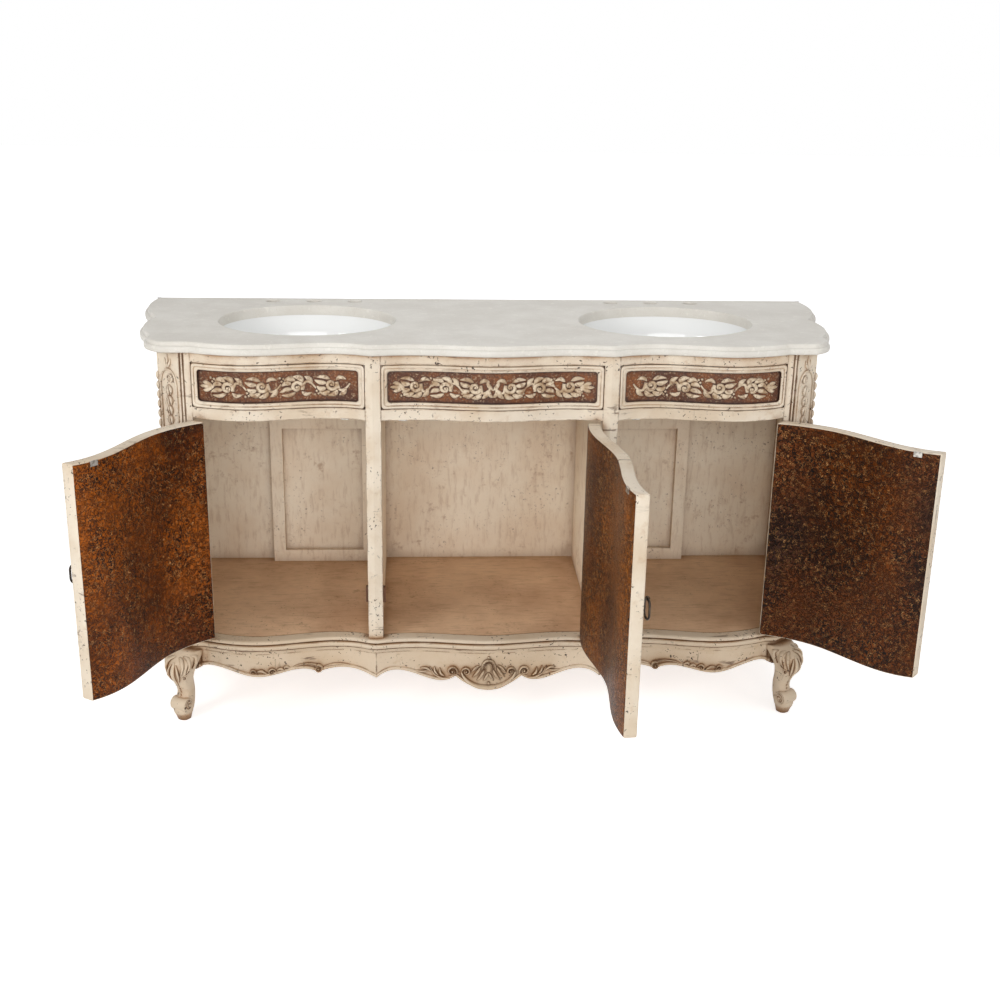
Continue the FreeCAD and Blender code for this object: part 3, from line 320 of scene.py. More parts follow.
def paint_nodes():
    """Give every CAD node the material of its slot."""
    for part in frame["record"]["subparts"]:
        data = frame["nodes"][part["node"]].data
        data.materials.clear()
        data.materials.append(SLOT_PAINT[part["material_slot"]])
    frame["nodes"]["bottom_panel"].data.materials[0] = FLOOR_BOARD
    for side, _ in SIDES:
        frame["nodes"][f"corner_post_{side}"].data.materials[0] = POST_CREAM


# The frame's own surfaces

def tree_of(*names):
    """CAD nodes as one tree that rays can be cast at."""
    vertices = []
    faces = []
    for name in names:
        data = frame["nodes"][name].data
        start = len(vertices)
        vertices += [vertex.co.copy() for vertex in data.vertices]
        faces += [[start + index for index in face.vertices] for face in data.polygons]
    return BVHTree.FromPolygons(vertices, faces)


FACE = tree_of(*[f"mid_rail_{bay}" for bay in BAYS],
               *[f"{kind}_{side}" for kind in ("divider_stile", "corner_post") for side, _ in SIDES])
RAIL_LEVEL = sum(corner.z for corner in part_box("mid_rail_center")) / 2
FAR = 3.0


def face_y(x):
    """Y of the case's front face at x."""
    return FACE.ray_cast(Vector((x, -FAR, RAIL_LEVEL)), Vector((0, 1, 0)))[0].y


# Making meshes

def add_object(name, data):
    item = bpy.data.objects.new(name, data)
    bpy.context.collection.objects.link(item)
    return item


class Shape:
    """Points and faces that grow into one mesh."""

    def __init__(self):
        self.points = []
        self.faces = []

    def rings(self, rows, closed=False, capped=False):
        """Faces over a row of rings. Returns the number of the first point."""
        start = len(self.points)
        width = len(rows[0])
        for row in rows:
            self.points += [Vector(point) for point in row]
        for i in range(len(rows) if closed else len(rows) - 1):
            here = start + i * width
            after = start + (i + 1) % len(rows) * width
            for j in range(width):
                k = (j + 1) % width
                self.faces.append((here + j, here + k, after + k, after + j))
        if capped:
            self.faces.append(tuple(range(start, start + width)))
            self.faces.append(tuple(range(len(self.points) - width, len(self.points))))
        return start

    def piece(self, name, *nodes, body="case", slot="painted_wood", paint=None, sharp=38, turn=None):
        """The mesh as an object that rides on a body and stands for CAD nodes, in its slot's paint."""
        data = bpy.data.meshes.new(name)
        data.from_pydata(self.points, [], self.faces)
        if turn:
            data.transform(turn)
        work = bmesh.new()
        work.from_mesh(data)
        bmesh.ops.recalc_face_normals(work, faces=work.faces)
        work.to_mesh(data)
        work.free()
        data.materials.append(paint or SLOT_PAINT[slot])
        data.shade_smooth()
        data.set_sharp_from_angle(angle=radians(sharp))
        item = add_object(name, data)
        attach(item, body)
        if nodes:
            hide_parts(*nodes)


def loft(rows, *names, **look):
    """A piece whose rows are closed rings of points, with flat ends."""
    shape = Shape()
    shape.rings(rows, capped=True)
    shape.piece(*names, **look)


def mm(*points):
    """Points given in millimetres, in metres."""
    return [tuple(value / 1000 for value in point) for point in points]


def spread(first, last, step):
    """Evenly spaced values from first to last, about a step apart."""
    count = max(1, round(abs(last - first) / step))
    return [first + (last - first) * i / count for i in range(count + 1)]


def circle(count):
    """Angles evenly spaced round a full turn."""
    return [2 * pi * i / count for i in range(count)]


def smooth_path(points, count):
    """A smooth line through points, with count steps between each pair."""
    ends = [points[0]] + list(points) + [points[-1]]
    line = []
    for a, b, c, d in zip(ends, ends[1:], ends[2:], ends[3:]):
        for i in range(count):
            t = i / count
            line.append(tuple(0.5 * (2 * q + (r - p) * t + (2 * p - 5 * q + 4 * r - s) * t ** 2
                                     + (3 * q - p - 3 * r + s) * t ** 3) for p, q, r, s in zip(a, b, c, d)))
    return line + [tuple(points[-1])]


def moved(path, distance, closed=True):
    """A plan line with each of its runs moved to its left."""
    count = len(path)
    line = []
    for i, (x, y) in enumerate(path):
        sides = []
        for a, b in ((i - 1, i), (i, i + 1)):
            if closed or (a >= 0 and b < count):
                run = Vector(path[b % count]) - Vector(path[a % count])
                sides.append(Vector((-run.y, run.x)).normalized())
        step = (sides[0] + sides[-1]) / max(0.5, 1 + sides[0].dot(sides[-1]))
        line.append((x + step.x * distance, y + step.y * distance))
    return line


def runs_of(loop):
    """Each point of a closed line with the point after it."""
    return zip(loop, loop[1:] + loop[:1])


def divided(a, b, parts):
    """Points from a to just before b, evenly spaced."""
    return [(a[0] + (b[0] - a[0]) * i / parts, a[1] + (b[1] - a[1]) * i / parts) for i in range(parts)]


def evenly(loop, step):
    """A closed plan line with its points at most a step apart."""
    line = []
    for a, b in runs_of(loop):
        line += divided(a, b, max(1, ceil(dist(a, b) / step)))
    return line


def shrunk(left, right, bottom, top, margin):
    """A box drawn in by a margin."""
    return left + margin, right - margin, bottom + margin, top - margin


def rounded_box(left, right, bottom, top, radius, parts):
    """Points round a box, with corners that are rounded in a number of parts."""
    left, right, bottom, top = shrunk(left, right, bottom, top, radius)
    points = []
    for quarter, (x, y) in enumerate(((right, top), (left, top), (left, bottom), (right, bottom))):
        for step in range(parts + 1):
            turn = pi / 2 * (quarter + step / parts)
            points.append((x + radius * cos(turn), y + radius * sin(turn)))
    return points


def loop_area(loop):
    """The area that a plan line goes round, negative where it goes clockwise."""
    return sum(a[0] * b[1] - b[0] * a[1] for a, b in runs_of(loop)) / 2


WELD = 1e-6
SHORTEST_RUN = 1e-4


def section(name, level):
    """The closed plan lines, anticlockwise and the largest first, where a level cuts a CAD node."""
    work = bmesh.new()
    work.from_mesh(frame["nodes"][name].data)
    bmesh.ops.remove_doubles(work, verts=work.verts, dist=WELD)
    parts = work.verts[:] + work.edges[:] + work.faces[:]
    cut = bmesh.ops.bisect_plane(work, geom=parts, plane_co=(0, 0, level), plane_no=(0, 0, 1))["geom_cut"]
    neighbours = {}
    for edge in cut:
        if isinstance(edge, bmesh.types.BMEdge):
            a, b = edge.verts
            neighbours.setdefault(a, []).append(b)
            neighbours.setdefault(b, []).append(a)
    loops = []
    while neighbours:
        point = next(iter(neighbours))
        loop = []
        while point in neighbours:
            loop.append((point.co.x, point.co.y))
            ahead = neighbours.pop(point)
            point = next((other for other in ahead if other in neighbours), None)
        loop = [a for a, b in runs_of(loop) if dist(a, b) > SHORTEST_RUN]
        loops.append(loop if loop_area(loop) > 0 else loop[::-1])
    work.free()
    return sorted(loops, key=loop_area, reverse=True)


# Countertop and mouldings

OUTLINE_STEP = 0.006
# Height above the slab's underside at which its outline is read, where the nose reaches furthest out
NOSE_LEVEL = 0.0075
# Steps out from the slab's outline and up from its underside
NOSE = mm((-4, 0), (-1.5, 1.3), (-0.3, 3.8), (0, 7.5), (-0.3, 11.2), (-1.5, 13.6), (-3.5, 14.9),
          (-6.8, 15.2), (-7.2, 16.6), (-7.8, 20.5), (-8.8, 22.9), (-10.5, 24), (-12.5, 24))
EASED = mm((0, 0), (0, 21.5), (0.6, 23), (2, 24), (4, 24))


def make_countertop():
    """The slab: a stepped nose round the CAD outline, and eased edges at the cut-outs and holes."""
    low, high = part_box("countertop")
    shape = Shape()
    tops = []
    bottoms = []
    for loop in section("countertop", low.z + NOSE_LEVEL):
        outside = not tops
        loop = evenly(loop, OUTLINE_STEP)
        rows = []
        for out, up in NOSE if outside else EASED:
            rows.append([(x, min(y, high.y), low.z + up) for x, y in moved(loop, -out)])
        start = shape.rings(rows)
        bottoms.append(range(start, start + len(loop)))
        tops.append(range(len(shape.points) - len(loop), len(shape.points)))
    for rings in (bottoms, tops):
        flat = [index for ring in rings for index in ring]
        for triangle in tessellate_polygon([[shape.points[index] for index in ring] for ring in rings]):
            shape.faces.append(tuple(flat[index] for index in triangle))
    shape.piece("countertop_slab", "countertop", slot="stone")


# Where a corner post's canted face starts and ends, and the fullest place of a side panel's curve
POST_FRONT_X = 0.691
POST_FLANK_Y = -0.462
SIDE_BULGE = (0.779, -0.255)
# Steps out from the case's outline and up from the moulding's top
BASE_PROFILE = mm((-20, 0), (4, 0), (8, -1), (10, -3.5), (10.3, -6), (9.2, -8.5), (6, -10.2), (3, -11),
                  (8, -12.2), (10.8, -15), (11.5, -18.5), (10.5, -22), (7.5, -24.5), (1.5, -25.6),
                  (4.5, -27.2), (2.5, -30), (0.8, -34), (0, -37), (-20, -37))


def post_line(side):
    """Plan points round a corner post, from its front to the back of its flank."""
    low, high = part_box("corner_post_right")
    return [(side * POST_FRONT_X, low.y), (side * high.x, POST_FLANK_Y), (side * high.x, high.y)]


def side_line(side):
    """Plan points along a side panel, from the post to the wall."""
    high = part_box("side_panel_right")[1]
    return [(side * SIDE_BULGE[0], SIDE_BULGE[1]), (side * high.x, high.y)]


def case_line():
    """The case in plan, from the wall on the left round the front to the wall on the right."""
    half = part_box("corner_post_right")[0].x
    front = [(x, face_y(x)) for x in spread(-half, half, OUTLINE_STEP)]
    return side_line(-1)[::-1] + post_line(-1)[::-1] + front + post_line(1) + side_line(1)


def make_base_moulding():
    """The moulding below the doors, run round the posts and the sides."""
    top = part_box("base_rail_center")[1].z
    path = case_line()
    columns = [[(x, y, top + up) for x, y in moved(path, -out, False)] for out, up in BASE_PROFILE]
    loft(list(zip(*columns)), "base_moulding", *[f"base_rail_{bay}" for bay in BAYS])


# Steps up from an apron's lower edge and out from its hollow
LIP = mm((20, 0), (13, 0.6), (9.5, 1.2), (8.2, 3.8), (5.8, 5), (3.2, 5), (1, 3.6), (0, 1.2))
LIP_BACK = 0.004
APRON_THICKNESS = 0.019
APRON_STEP = 0.003
# How deep an apron is hollowed, and how far below its top the hollow starts and ends
HOLLOW = 0.0016
HOLLOW_START = 0.006
HOLLOW_END = 0.014
# How far behind the face the aprons' lower edge is looked for, from below the floor
PROBE_DEPTH = 0.006
PROBE_LEVEL = -0.1
# How far inside an apron's ends its first and last columns are
APRON_TRIM = 0.0002
# Where the outer ends of the aprons sweep down into the legs: X and height above the bracket level
BRACKET_LEVEL = 0.114
BRACKET = ((0.677, 0.017), (0.682, 0.0145), (0.686, 0.012), (0.689, 0.0095), (0.6908, 0.008))
# Shares of the way across a post's canted face, and how far the apron there is above the bracket level
CORNER_FALL = ((0.0, 0.008), (0.15, 0.0045), (0.35, -0.0005), (0.6, -0.004), (1.0, -0.004))
APRON = tree_of(*[f"apron_{bay}" for bay in BAYS])


def apron_bottom(x):
    """Height of the aprons' lower edge at x, or nothing where a leg has cut the apron away."""
    hit = APRON.ray_cast(Vector((x, face_y(x) + PROBE_DEPTH, PROBE_LEVEL)), Vector((0, 0, 1)))[0]
    return hit and hit.z


def make_aprons():
    """The scalloped aprons, hollowed a little and with a raised lip along their lower edge."""
    bracket = [(x, BRACKET_LEVEL + rise) for x, rise in BRACKET]
    for bay in BAYS:
        low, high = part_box(f"apron_{bay}")
        edges = [(x, apron_bottom(x)) for x in spread(low.x + APRON_TRIM, high.x - APRON_TRIM, APRON_STEP)]
        edges = [(x, edge) for x, edge in edges if edge is not None]
        if bay == "left":
            edges = [(-x, level) for x, level in reversed(bracket)] + edges
        if bay == "right":
            edges = edges + bracket
        rows = []
        for x, edge in edges:
            face = face_y(x)
            back = face + APRON_THICKNESS
            row = [(x, back, high.z), (x, face, high.z), (x, face, high.z - HOLLOW_START),
                   (x, face + HOLLOW, high.z - HOLLOW_END)]
            row += [(x, face + HOLLOW - out, edge + up) for up, out in LIP]
            row += [(x, face + LIP_BACK, edge), (x, back, edge)]
            rows.append(row)
        loft(rows, f"apron_{bay}_carved", f"apron_{bay}")


def make_corner_aprons():
    """The apron behind each front leg, from the front round the post to the side."""
    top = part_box("apron_center")[1].z
    front, corner, back = (Vector(point) for point in post_line(1))
    path = [front.lerp(corner, share) for share, _ in CORNER_FALL] + [back]
    levels = [BRACKET_LEVEL + fall for _, fall in CORNER_FALL] + [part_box("side_panel_right")[0].z]
    inside = moved(path, APRON_THICKNESS, False)
    for name, side in SIDES:
        rows = [[(side * x, y, top), (side * x, y, level), (side * u, v, level), (side * u, v, top)]
                for (x, y), (u, v), level in zip(path, inside, levels)]
        loft(rows, f"leg_front_{name}_block", f"leg_front_{name}")


# Height, reach along the leg's diagonal, half width across it and half depth along it
LEG_LINE = smooth_path(mm((173, 0, 37, 36), (158, 26, 38, 36), (140, 40, 35.5, 33), (118, 43, 29, 28),
                          (94, 36, 22.5, 22), (72, 30, 19.5, 19.5), (52, 34, 20.5, 22), (36, 41, 23, 24),
                          (22, 44, 21.5, 22), (10, 43, 17.5, 17.5), (0, 42, 15, 15)), 5)
LEG_AXIS = Vector((0.704, -0.478))
LEG_LEAN = Vector((0.5, -0.866)).normalized()
LEG_BESIDE = Vector((-LEG_LEAN.y, LEG_LEAN.x))
LEG_SQUARENESS = 0.85
# Lobes round a knee, their depth, the heights between which they lie, and the lengths over which they fade
LOBES = 7
LOBE = 0.0022
KNEE_BOTTOM, KNEE_TOP = 0.085, 0.172
FADE_BELOW, FADE_ABOVE = 0.03, 0.02


def leg_place(side, ahead, aside, z):
    """A point that is so far along the right leg's diagonal and across it, or its mirror image."""
    plan = LEG_AXIS + LEG_LEAN * ahead + LEG_BESIDE * aside
    return Vector((side * plan.x, plan.y, z))


def leg_point(side, z, reach, across, along, angle):
    """A point on a front leg's skin. Angle 0 is straight ahead along the diagonal."""
    ahead, aside = (copysign(abs(part) ** LEG_SQUARENESS, part)
                    for part in (cos(angle), sin(angle)))
    return leg_place(side, reach + ahead * along, aside * across, z)


def make_front_legs():
    """Cabriole legs: a lobed knee, a slim ankle and a foot on a small pad."""
    for name, side in SIDES:
        rows = []
        for z, reach, across, along in LEG_LINE:
            depth = LOBE * max(0.0, min(1.0, (z - KNEE_BOTTOM) / FADE_BELOW, (KNEE_TOP - z) / FADE_ABOVE))
            row = []
            for angle in circle(48):
                lobe = depth * (1 - abs(sin(LOBES / 2 * angle)) ** 0.6 * 2)
                row.append(leg_point(side, z, reach, across + lobe, along + lobe, angle))
            rows.append(row)
        loft(rows, f"leg_front_{name}_carved", f"leg_front_{name}")


# Doors

JOINTS = {joint["name"]: joint for joint in frame["joints"]}
DOOR_ROUND = 0.003
ROUND_PARTS = 3
# Runs of a door's outline shorter than this in X are its ends, and how close to them its faces are read
END_RUN = 1e-5
INSIDE_END = 5e-5
# A coat's thickness, the step of its mesh, and its distance from the edges of the door or of its frame
COAT = 0.0006
COAT_STEP = 0.004
COAT_MARGIN = 0.0022
PANEL_INSET = 0.012


class DoorPlan:
    """A closed door's faces in plan, read from the CAD door, and the turn from there to where it rests."""

    def __init__(self, bay):
        self.bay = bay
        self.name = f"door_{bay}"
        joint = JOINTS[f"door_{bay}_hinge"]
        pin = Vector(joint["pos_m"])
        swing = Matrix.Rotation(-radians(joint["range_deg"][0]), 4, Vector(joint["axis"]))
        self.turn = Matrix.Translation(pin) @ swing @ Matrix.Translation(-pin)
        low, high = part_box(self.name)
        self.bottom = low.z
        self.top = high.z
        back = self.turn.inverted()
        outline = section(self.name, (low.z + high.z) / 2)[0]
        loop = [back @ Vector((x, y, 0)) for x, y in outline]
        self.left = min(point.x for point in loop)
        self.right = max(point.x for point in loop)
        self.runs = [(a, b) for a, b in runs_of(loop) if abs(a.x - b.x) > END_RUN]

    def faces_at(self, x):
        """Y of the outer face and of the inner face at x."""
        x = min(max(x, self.left + INSIDE_END), self.right - INSIDE_END)
        crossings = [a.y + (b.y - a.y) * (x - a.x) / (b.x - a.x) for a, b in self.runs
                     if min(a.x, b.x) <= x <= max(a.x, b.x)]
        return min(crossings), max(crossings)

    def columns(self):
        """X places across the door, closer together over its rounded ends."""
        ends = [DOOR_ROUND * (1 - cos(pi / 2 * i / ROUND_PARTS)) for i in range(ROUND_PARTS + 1)]
        middle = spread(self.left + DOOR_ROUND, self.right - DOOR_ROUND, OUTLINE_STEP)[1:-1]
        return [self.left + end for end in ends] + middle + [self.right - end for end in reversed(ends)]


def make_door_board(plan):
    """The curved board with rounded edges."""
    rows = []
    for x in plan.columns():
        depth = min(x - plan.left, plan.right - x, DOOR_ROUND)
        inset = DOOR_ROUND - sqrt(max(0.0, DOOR_ROUND ** 2 - (DOOR_ROUND - depth) ** 2))
        box = shrunk(*plan.faces_at(x), plan.bottom, plan.top, inset)
        rows.append([(x, y, z) for y, z in rounded_box(*box, DOOR_ROUND, ROUND_PARTS)])
    loft(rows, f"{plan.name}_board", plan.name, body=plan.name, turn=plan.turn)


def make_coat(name, plan, left, right, bottom, top, outside):
    """A thin crackled coat on one face of a door, uneven as thick paint is."""
    rows = []
    for x in spread(left, right, COAT_STEP):
        front, back = plan.faces_at(x)
        row = []
        for z in spread(bottom, top, COAT_STEP):
            at_edge = min(x - left, right - x, z - bottom, top - z) < COAT_STEP / 2
            swell = 0.0 if at_edge else COAT * (1 + 0.6 * noise.noise((x * 60, z * 60, 1.0)))
            row.append((x, front - swell if outside else back + swell, z))
        middle = (front + back) / 2
        rows.append(row + [(x, middle, top), (x, middle, bottom)])
    loft(rows, name, plan.name, paint=CRACKLE_DOOR[plan.bay], body=plan.name, slot="crackle_door", sharp=50,
         turn=plan.turn)


# Steps in from a frame's outer edge and out from the face it lies on
FRAME_PROFILE = mm((0, -4), (0, 1.5), (1.2, 4), (3.5, 5.6), (6.2, 5.6), (8.5, 4.2), (9.5, 2.8),
                   (11.5, 3.2), (13.5, 4.4), (16, 4), (18.5, 2.2), (20, 0.4), (20, -4))
SMALLEST_CORNER = 0.007
# Runs longer than this are divided into so many parts, to follow the curved face and keep the mesh even
LONG_ACROSS, ACROSS_PARTS = 0.05, 40
LONG_UP, UP_PARTS = 0.02, 12
CORNER_PARTS = 6
# Corner radius of a frame's outer edge, and its size as a share of the profile above
DOOR_FRAME = (0.012, 0.7)
DRAWER_FRAME = (0.008, 0.68)


def frame_loop(left, right, bottom, top, corner, inset):
    """Points (x, z) round a box with rounded corners, inset from its edge."""
    box = shrunk(left, right, bottom, top, inset)
    loop = []
    for a, b in runs_of(rounded_box(*box, max(corner - inset, SMALLEST_CORNER), CORNER_PARTS)):
        across = abs(b[0] - a[0])
        up = abs(b[1] - a[1])
        loop += divided(a, b, ACROSS_PARTS if across > LONG_ACROSS else UP_PARTS if up > LONG_UP else 1)
    return loop


def frame_moulding(y_at, left, right, bottom, top, corner, scale):
    """The shape of a moulded frame on an upright curved face."""
    rows = []
    for inset, out in FRAME_PROFILE:
        loop = frame_loop(left, right, bottom, top, corner, inset * scale)
        rows.append([(x, y_at(x) - out * scale, z) for x, z in loop])
    shape = Shape()
    shape.rings(rows, closed=True)
    return shape


def make_doors():
    """Doors: cream edges and frame, crackled brown inside and in the panel outside."""
    for bay in BAYS:
        plan = DoorPlan(bay)
        make_door_board(plan)
        inside = shrunk(plan.left, plan.right, plan.bottom, plan.top, COAT_MARGIN)
        make_coat(f"{plan.name}_inner_coat", plan, *inside, False)
        low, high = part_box(f"{plan.name}_moulding")
        margin = low.z - plan.bottom
        box = (plan.left + margin, plan.right - margin, low.z, high.z)
        moulding = frame_moulding(lambda x: plan.faces_at(x)[0], *box, *DOOR_FRAME)
        moulding.piece(f"{plan.name}_frame", f"{plan.name}_moulding", body=plan.name, turn=plan.turn)
        make_coat(f"{plan.name}_outer_coat", plan, *shrunk(*box, PANEL_INSET), True)


# How far a ring's pin stands off the door
PIN_STAND = 0.012
PETALS = 8
# Radius, height off the door and depth of the petals
ROSETTE = ((0.0110, 0.0, 0.0), (0.0110, 0.0010, 0.0), (0.0104, 0.0018, 0.05), (0.0086, 0.0027, 0.07),
           (0.0068, 0.0030, 0.03), (0.0057, 0.0026, 0.0), (0.0048, 0.0033, 0.0), (0.0036, 0.0048, 0.0),
           (0.0030, 0.0062, 0.0), (0.0030, 0.0082, 0.0))
# Reach from the pin and place along it
EYE = mm((3.3, -2.2), (3.3, 2.2), (3.7, 2.9), (4.3, 2.9), (4.7, 2.1), (4.7, -2.1), (4.3, -2.9), (3.7, -2.9))


def make_pulls():
    """Petalled rosettes, each with an eye that its ring hangs in."""
    up = Vector((0, 0, 1))
    for bay in BAYS:
        joint = JOINTS[f"pull_{bay}_swing"]
        pin = Vector(joint["pos_m"])
        along = Vector(joint["axis"]).normalized()
        low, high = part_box(f"door_{bay}_pull_plate")
        out = along.cross(up)
        if out.dot(pin - (low + high) / 2) < 0:
            out = -out
        seat = pin - out * PIN_STAND
        petals = []
        for radius, height, depth in ROSETTE:
            row = []
            for turn in circle(48):
                reach = radius * (1 - depth * (1 - abs(cos(PETALS / 2 * turn))))
                row.append(seat + (along * cos(turn) + up * sin(turn)) * reach + out * height)
            petals.append(row)
        eye = []
        for turn in circle(24):
            away = out * cos(turn) + up * sin(turn)
            eye.append([pin + away * reach + along * place for reach, place in EYE])
        shape = Shape()
        shape.rings(petals, capped=True)
        shape.rings(eye, closed=True)
        shape.piece(f"door_{bay}_pull_rosette", f"door_{bay}_pull_plate", body=f"door_{bay}", slot="bronze")


# Drawers

DRAWER_GAP = 0.0015
# How far a panel reaches under its frame, how far behind the case's face its front and back lie, its
# unevenness and the step of its mesh
PANEL_TUCK = 0.003
PANEL_DEPTH = 0.0045
PANEL_BACK = 0.016
PANEL_SWELL = 0.0006
PANEL_STEP = 0.003


def make_drawers():
    """Fixed drawer fronts: a moulded frame round a crackled panel."""
    for bay in BAYS:
        low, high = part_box(f"drawer_moulding_{bay}")
        box = shrunk(low.x, high.x, low.z, high.z, DRAWER_GAP)
        moulding = frame_moulding(face_y, *box, *DRAWER_FRAME)
        moulding.piece(f"drawer_frame_{bay}", f"drawer_moulding_{bay}")
        make_drawer_panel(bay)


def make_drawer_panel(bay):
    """A drawer's panel, uneven as thick paint is."""
    low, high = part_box(f"drawer_front_{bay}")
    left, right, bottom, top = shrunk(low.x, high.x, low.z, high.z, -PANEL_TUCK)
    rows = []
    for x in spread(left, right, PANEL_STEP):
        face = face_y(x)
        row = [(x, face + PANEL_BACK, bottom)]
        for z in spread(bottom, top, PANEL_STEP):
            row.append((x, face + PANEL_DEPTH + PANEL_SWELL * noise.noise((x * 70, z * 70, 2.0)), z))
        rows.append(row + [(x, face + PANEL_BACK, top)])
    loft(rows, f"drawer_panel_{bay}", f"drawer_front_{bay}", slot="crackle_panel", sharp=50)


# Carving

class Carving:
    """Raised strokes on a surface, given in millimetres along it and up it."""

    FACETS = 6
    SINK = 1.5

    def __init__(self, surface, mirrored=False, relief=1.0, shape=None):
        self.shape = shape or Shape()
        self.surface = surface
        self.relief = relief
        self.hands = (1, -1) if mirrored else (1,)

    def at(self, hand, u, v, lift):
        return self.surface(hand * u / 1000, v / 1000, lift * self.relief / 1000)

    def ridge(self, points, width, height, start=0.3, end=0.3, swell=0.5):
        """A rounded ridge that is fullest at the share swell of its length. Width is half its breadth."""
        line = smooth_path(points, 5)
        for hand in self.hands:
            rows = []
            for i, (u, v) in enumerate(line):
                share = i / (len(line) - 1)
                before = line[max(i - 1, 0)]
                after = line[min(i + 1, len(line) - 1)]
                run = Vector((after[0] - before[0], after[1] - before[1])).normalized()
                if share < swell:
                    part = start + (1 - start) * sin(pi / 2 * share / swell)
                else:
                    part = end + (1 - end) * sin(pi / 2 * (1 - share) / (1 - swell))
                row = []
                for k in range(self.FACETS + 1):
                    turn = pi * k / self.FACETS
                    across = width * part * cos(turn)
                    row.append(self.at(hand, u - run.y * across, v + run.x * across,
                                       height * part * sin(turn)))
                row.append(self.at(hand, u, v, -self.SINK))
                rows.append(row)
            self.shape.rings(rows, capped=True)

    def leaves(self, *rows):
        """Pointed leaves, each as half its breadth, its height and its points."""
        for width, height, *points in rows:
            self.ridge(points, width, height, start=0.12, end=0.06, swell=0.42)

    def volute(self, u, v, radius, start, turns, width, height, tail=()):
        """A spiral that winds in to a bead. A tail leads to its outer end. Negative turns wind clockwise."""
        steps = max(6, round(abs(turns) * 10))
        points = list(tail)
        for i in range(steps + 1):
            share = i / steps
            reach = radius * (1 - 0.72 * share)
            turn = radians(start) + 2 * pi * turns * share
            points.append((u + reach * cos(turn), v + reach * sin(turn)))
        self.ridge(points, width, height, start=0.35, end=0.45, swell=0.35)
        self.bead(u, v, radius * 0.3, height * 1.15)

    def bead(self, u, v, radius, height):
        """A small dome."""
        for hand in self.hands:
            rows = []
            for k in range(5):
                rise = pi / 2 * k / 5
                reach = radius * cos(rise)
                rows.append([self.at(hand, u + reach * cos(turn), v + reach * sin(turn),
                                     height * sin(rise)) for turn in circle(10)])
            self.shape.rings(rows, capped=True)

    def piece(self, name, **look):
        self.shape.piece(name, sharp=60, **look)


def on_face(recess):
    """The case's front as a surface for carving: x and z, lifted off a face that is set back."""
    return lambda u, v, lift: Vector((u, face_y(u) + recess - lift, v))


APRON_RECESS = 0.0005


def carve_center_apron():
    """A crescent and a fan of leaves in the middle, with scrolls and sprays to both sides."""
    pair = Carving(on_face(APRON_RECESS), mirrored=True, relief=1.35)
    pair.ridge([(0, 83), (24, 86), (44, 95), (58, 108), (65, 122)], 6.2, 7.5, 1, 0.4, 0.05)
    pair.ridge([(16, 126), (15, 140), (9, 151), (0, 155)], 2.6, 5, 0.5, 0.9, 0.6)
    pair.ridge([(6, 122), (8, 135), (5, 144), (0, 146)], 1.8, 4, 0.4, 0.9, 0.6)
    pair.ridge([(84, 110), (97, 104), (113, 105), (130, 115), (140, 132)], 3.4, 5.5, 0.4, 0.2, 0.3)
    pair.ridge([(172, 122), (196, 127), (226, 129), (256, 120)], 2.2, 3, 0.2, 0.4, 0.6)
    pair.volute(53, 124, 10, 10, 1.3, 2.3, 5, tail=[(66, 112), (66, 120)])
    pair.volute(86, 123, 12, 200, -1.4, 2.7, 5.5, tail=[(105, 104), (91, 107), (79, 113)])
    pair.leaves((3, 5, (0, 122), (6, 112), (12, 99)), (3.6, 5.5, (10, 131), (17, 116), (29, 100)),
                (3.4, 5, (18, 138), (28, 122), (39, 108)), (2.6, 4.2, (22, 141), (33, 133), (42, 121)),
                (3.2, 5, (103, 108), (114, 117), (116, 130)), (3, 4.8, (117, 109), (127, 120), (129, 133)),
                (2.8, 4.4, (131, 117), (148, 128), (163, 127)), (2.6, 4, (140, 124), (157, 119), (178, 122)))
    middle = Carving(pair.surface, relief=pair.relief, shape=pair.shape)
    middle.bead(0, 162, 3.2, 4)
    middle.bead(0, 95, 3.6, 5)
    pair.piece("apron_center_carving")


def carve_side_aprons():
    """A scroll drop, a C-curve and a few small leaves along the lip."""
    face = on_face(APRON_RECESS)
    for name, side in SIDES:
        work = Carving(lambda u, v, lift: face(side * u, v, lift), relief=1.5)
        work.ridge([(392, 128), (372, 134), (345, 135), (318, 130), (290, 122)], 2.4, 3.4, 0.4, 0.3, 0.3)
        work.volute(404, 125, 10, 60, 1.5, 3, 6, tail=[(470, 131), (448, 139), (424, 140), (410, 136)])
        work.volute(512, 127, 8, 150, -1.2, 2.3, 4.6, tail=[(486, 126), (497, 124)])
        work.volute(556, 126, 7, 180, -1.1, 2, 4, tail=[(530, 119), (542, 119)])
        work.leaves((3.2, 4.6, (468, 132), (480, 138), (484, 128)),
                    (3.2, 4.6, (476, 124), (492, 134), (502, 126)),
                    (3, 4.4, (520, 120), (536, 130), (552, 126)),
                    (2.6, 3.6, (560, 118), (580, 125), (600, 129)))
        work.piece(f"apron_{name}_carving")


# The radius at which carving is laid out round a leg
LEG_RADIUS = 0.035
# The scroll at a toe: its place along the diagonal, its height, its radius and half its width
TOE_REACH = 0.050
TOE_LEVEL = 0.041
TOE_RADIUS = 0.0175
TOE_HALF_WIDTH = 0.0215
# Shares of half the scroll's width and of its radius
TOE_BARREL = ((-1, 0.86), (-0.93, 0.95), (-0.75, 1), (0, 1.02), (0.75, 1), (0.93, 0.95), (1, 0.86))


def leg_station(z):
    """A front leg's reach, half width and half depth at a height."""
    heights, *columns = zip(*reversed(LEG_LINE))
    return [interp(z, heights, column) for column in columns]


def on_leg(side):
    """A front leg's skin as a surface for carving: round it from its diagonal, and up."""
    def surface(u, v, lift):
        reach, across, along = leg_station(v)
        return leg_point(side, v, reach, across + lift, along + lift, u / LEG_RADIUS)

    return surface


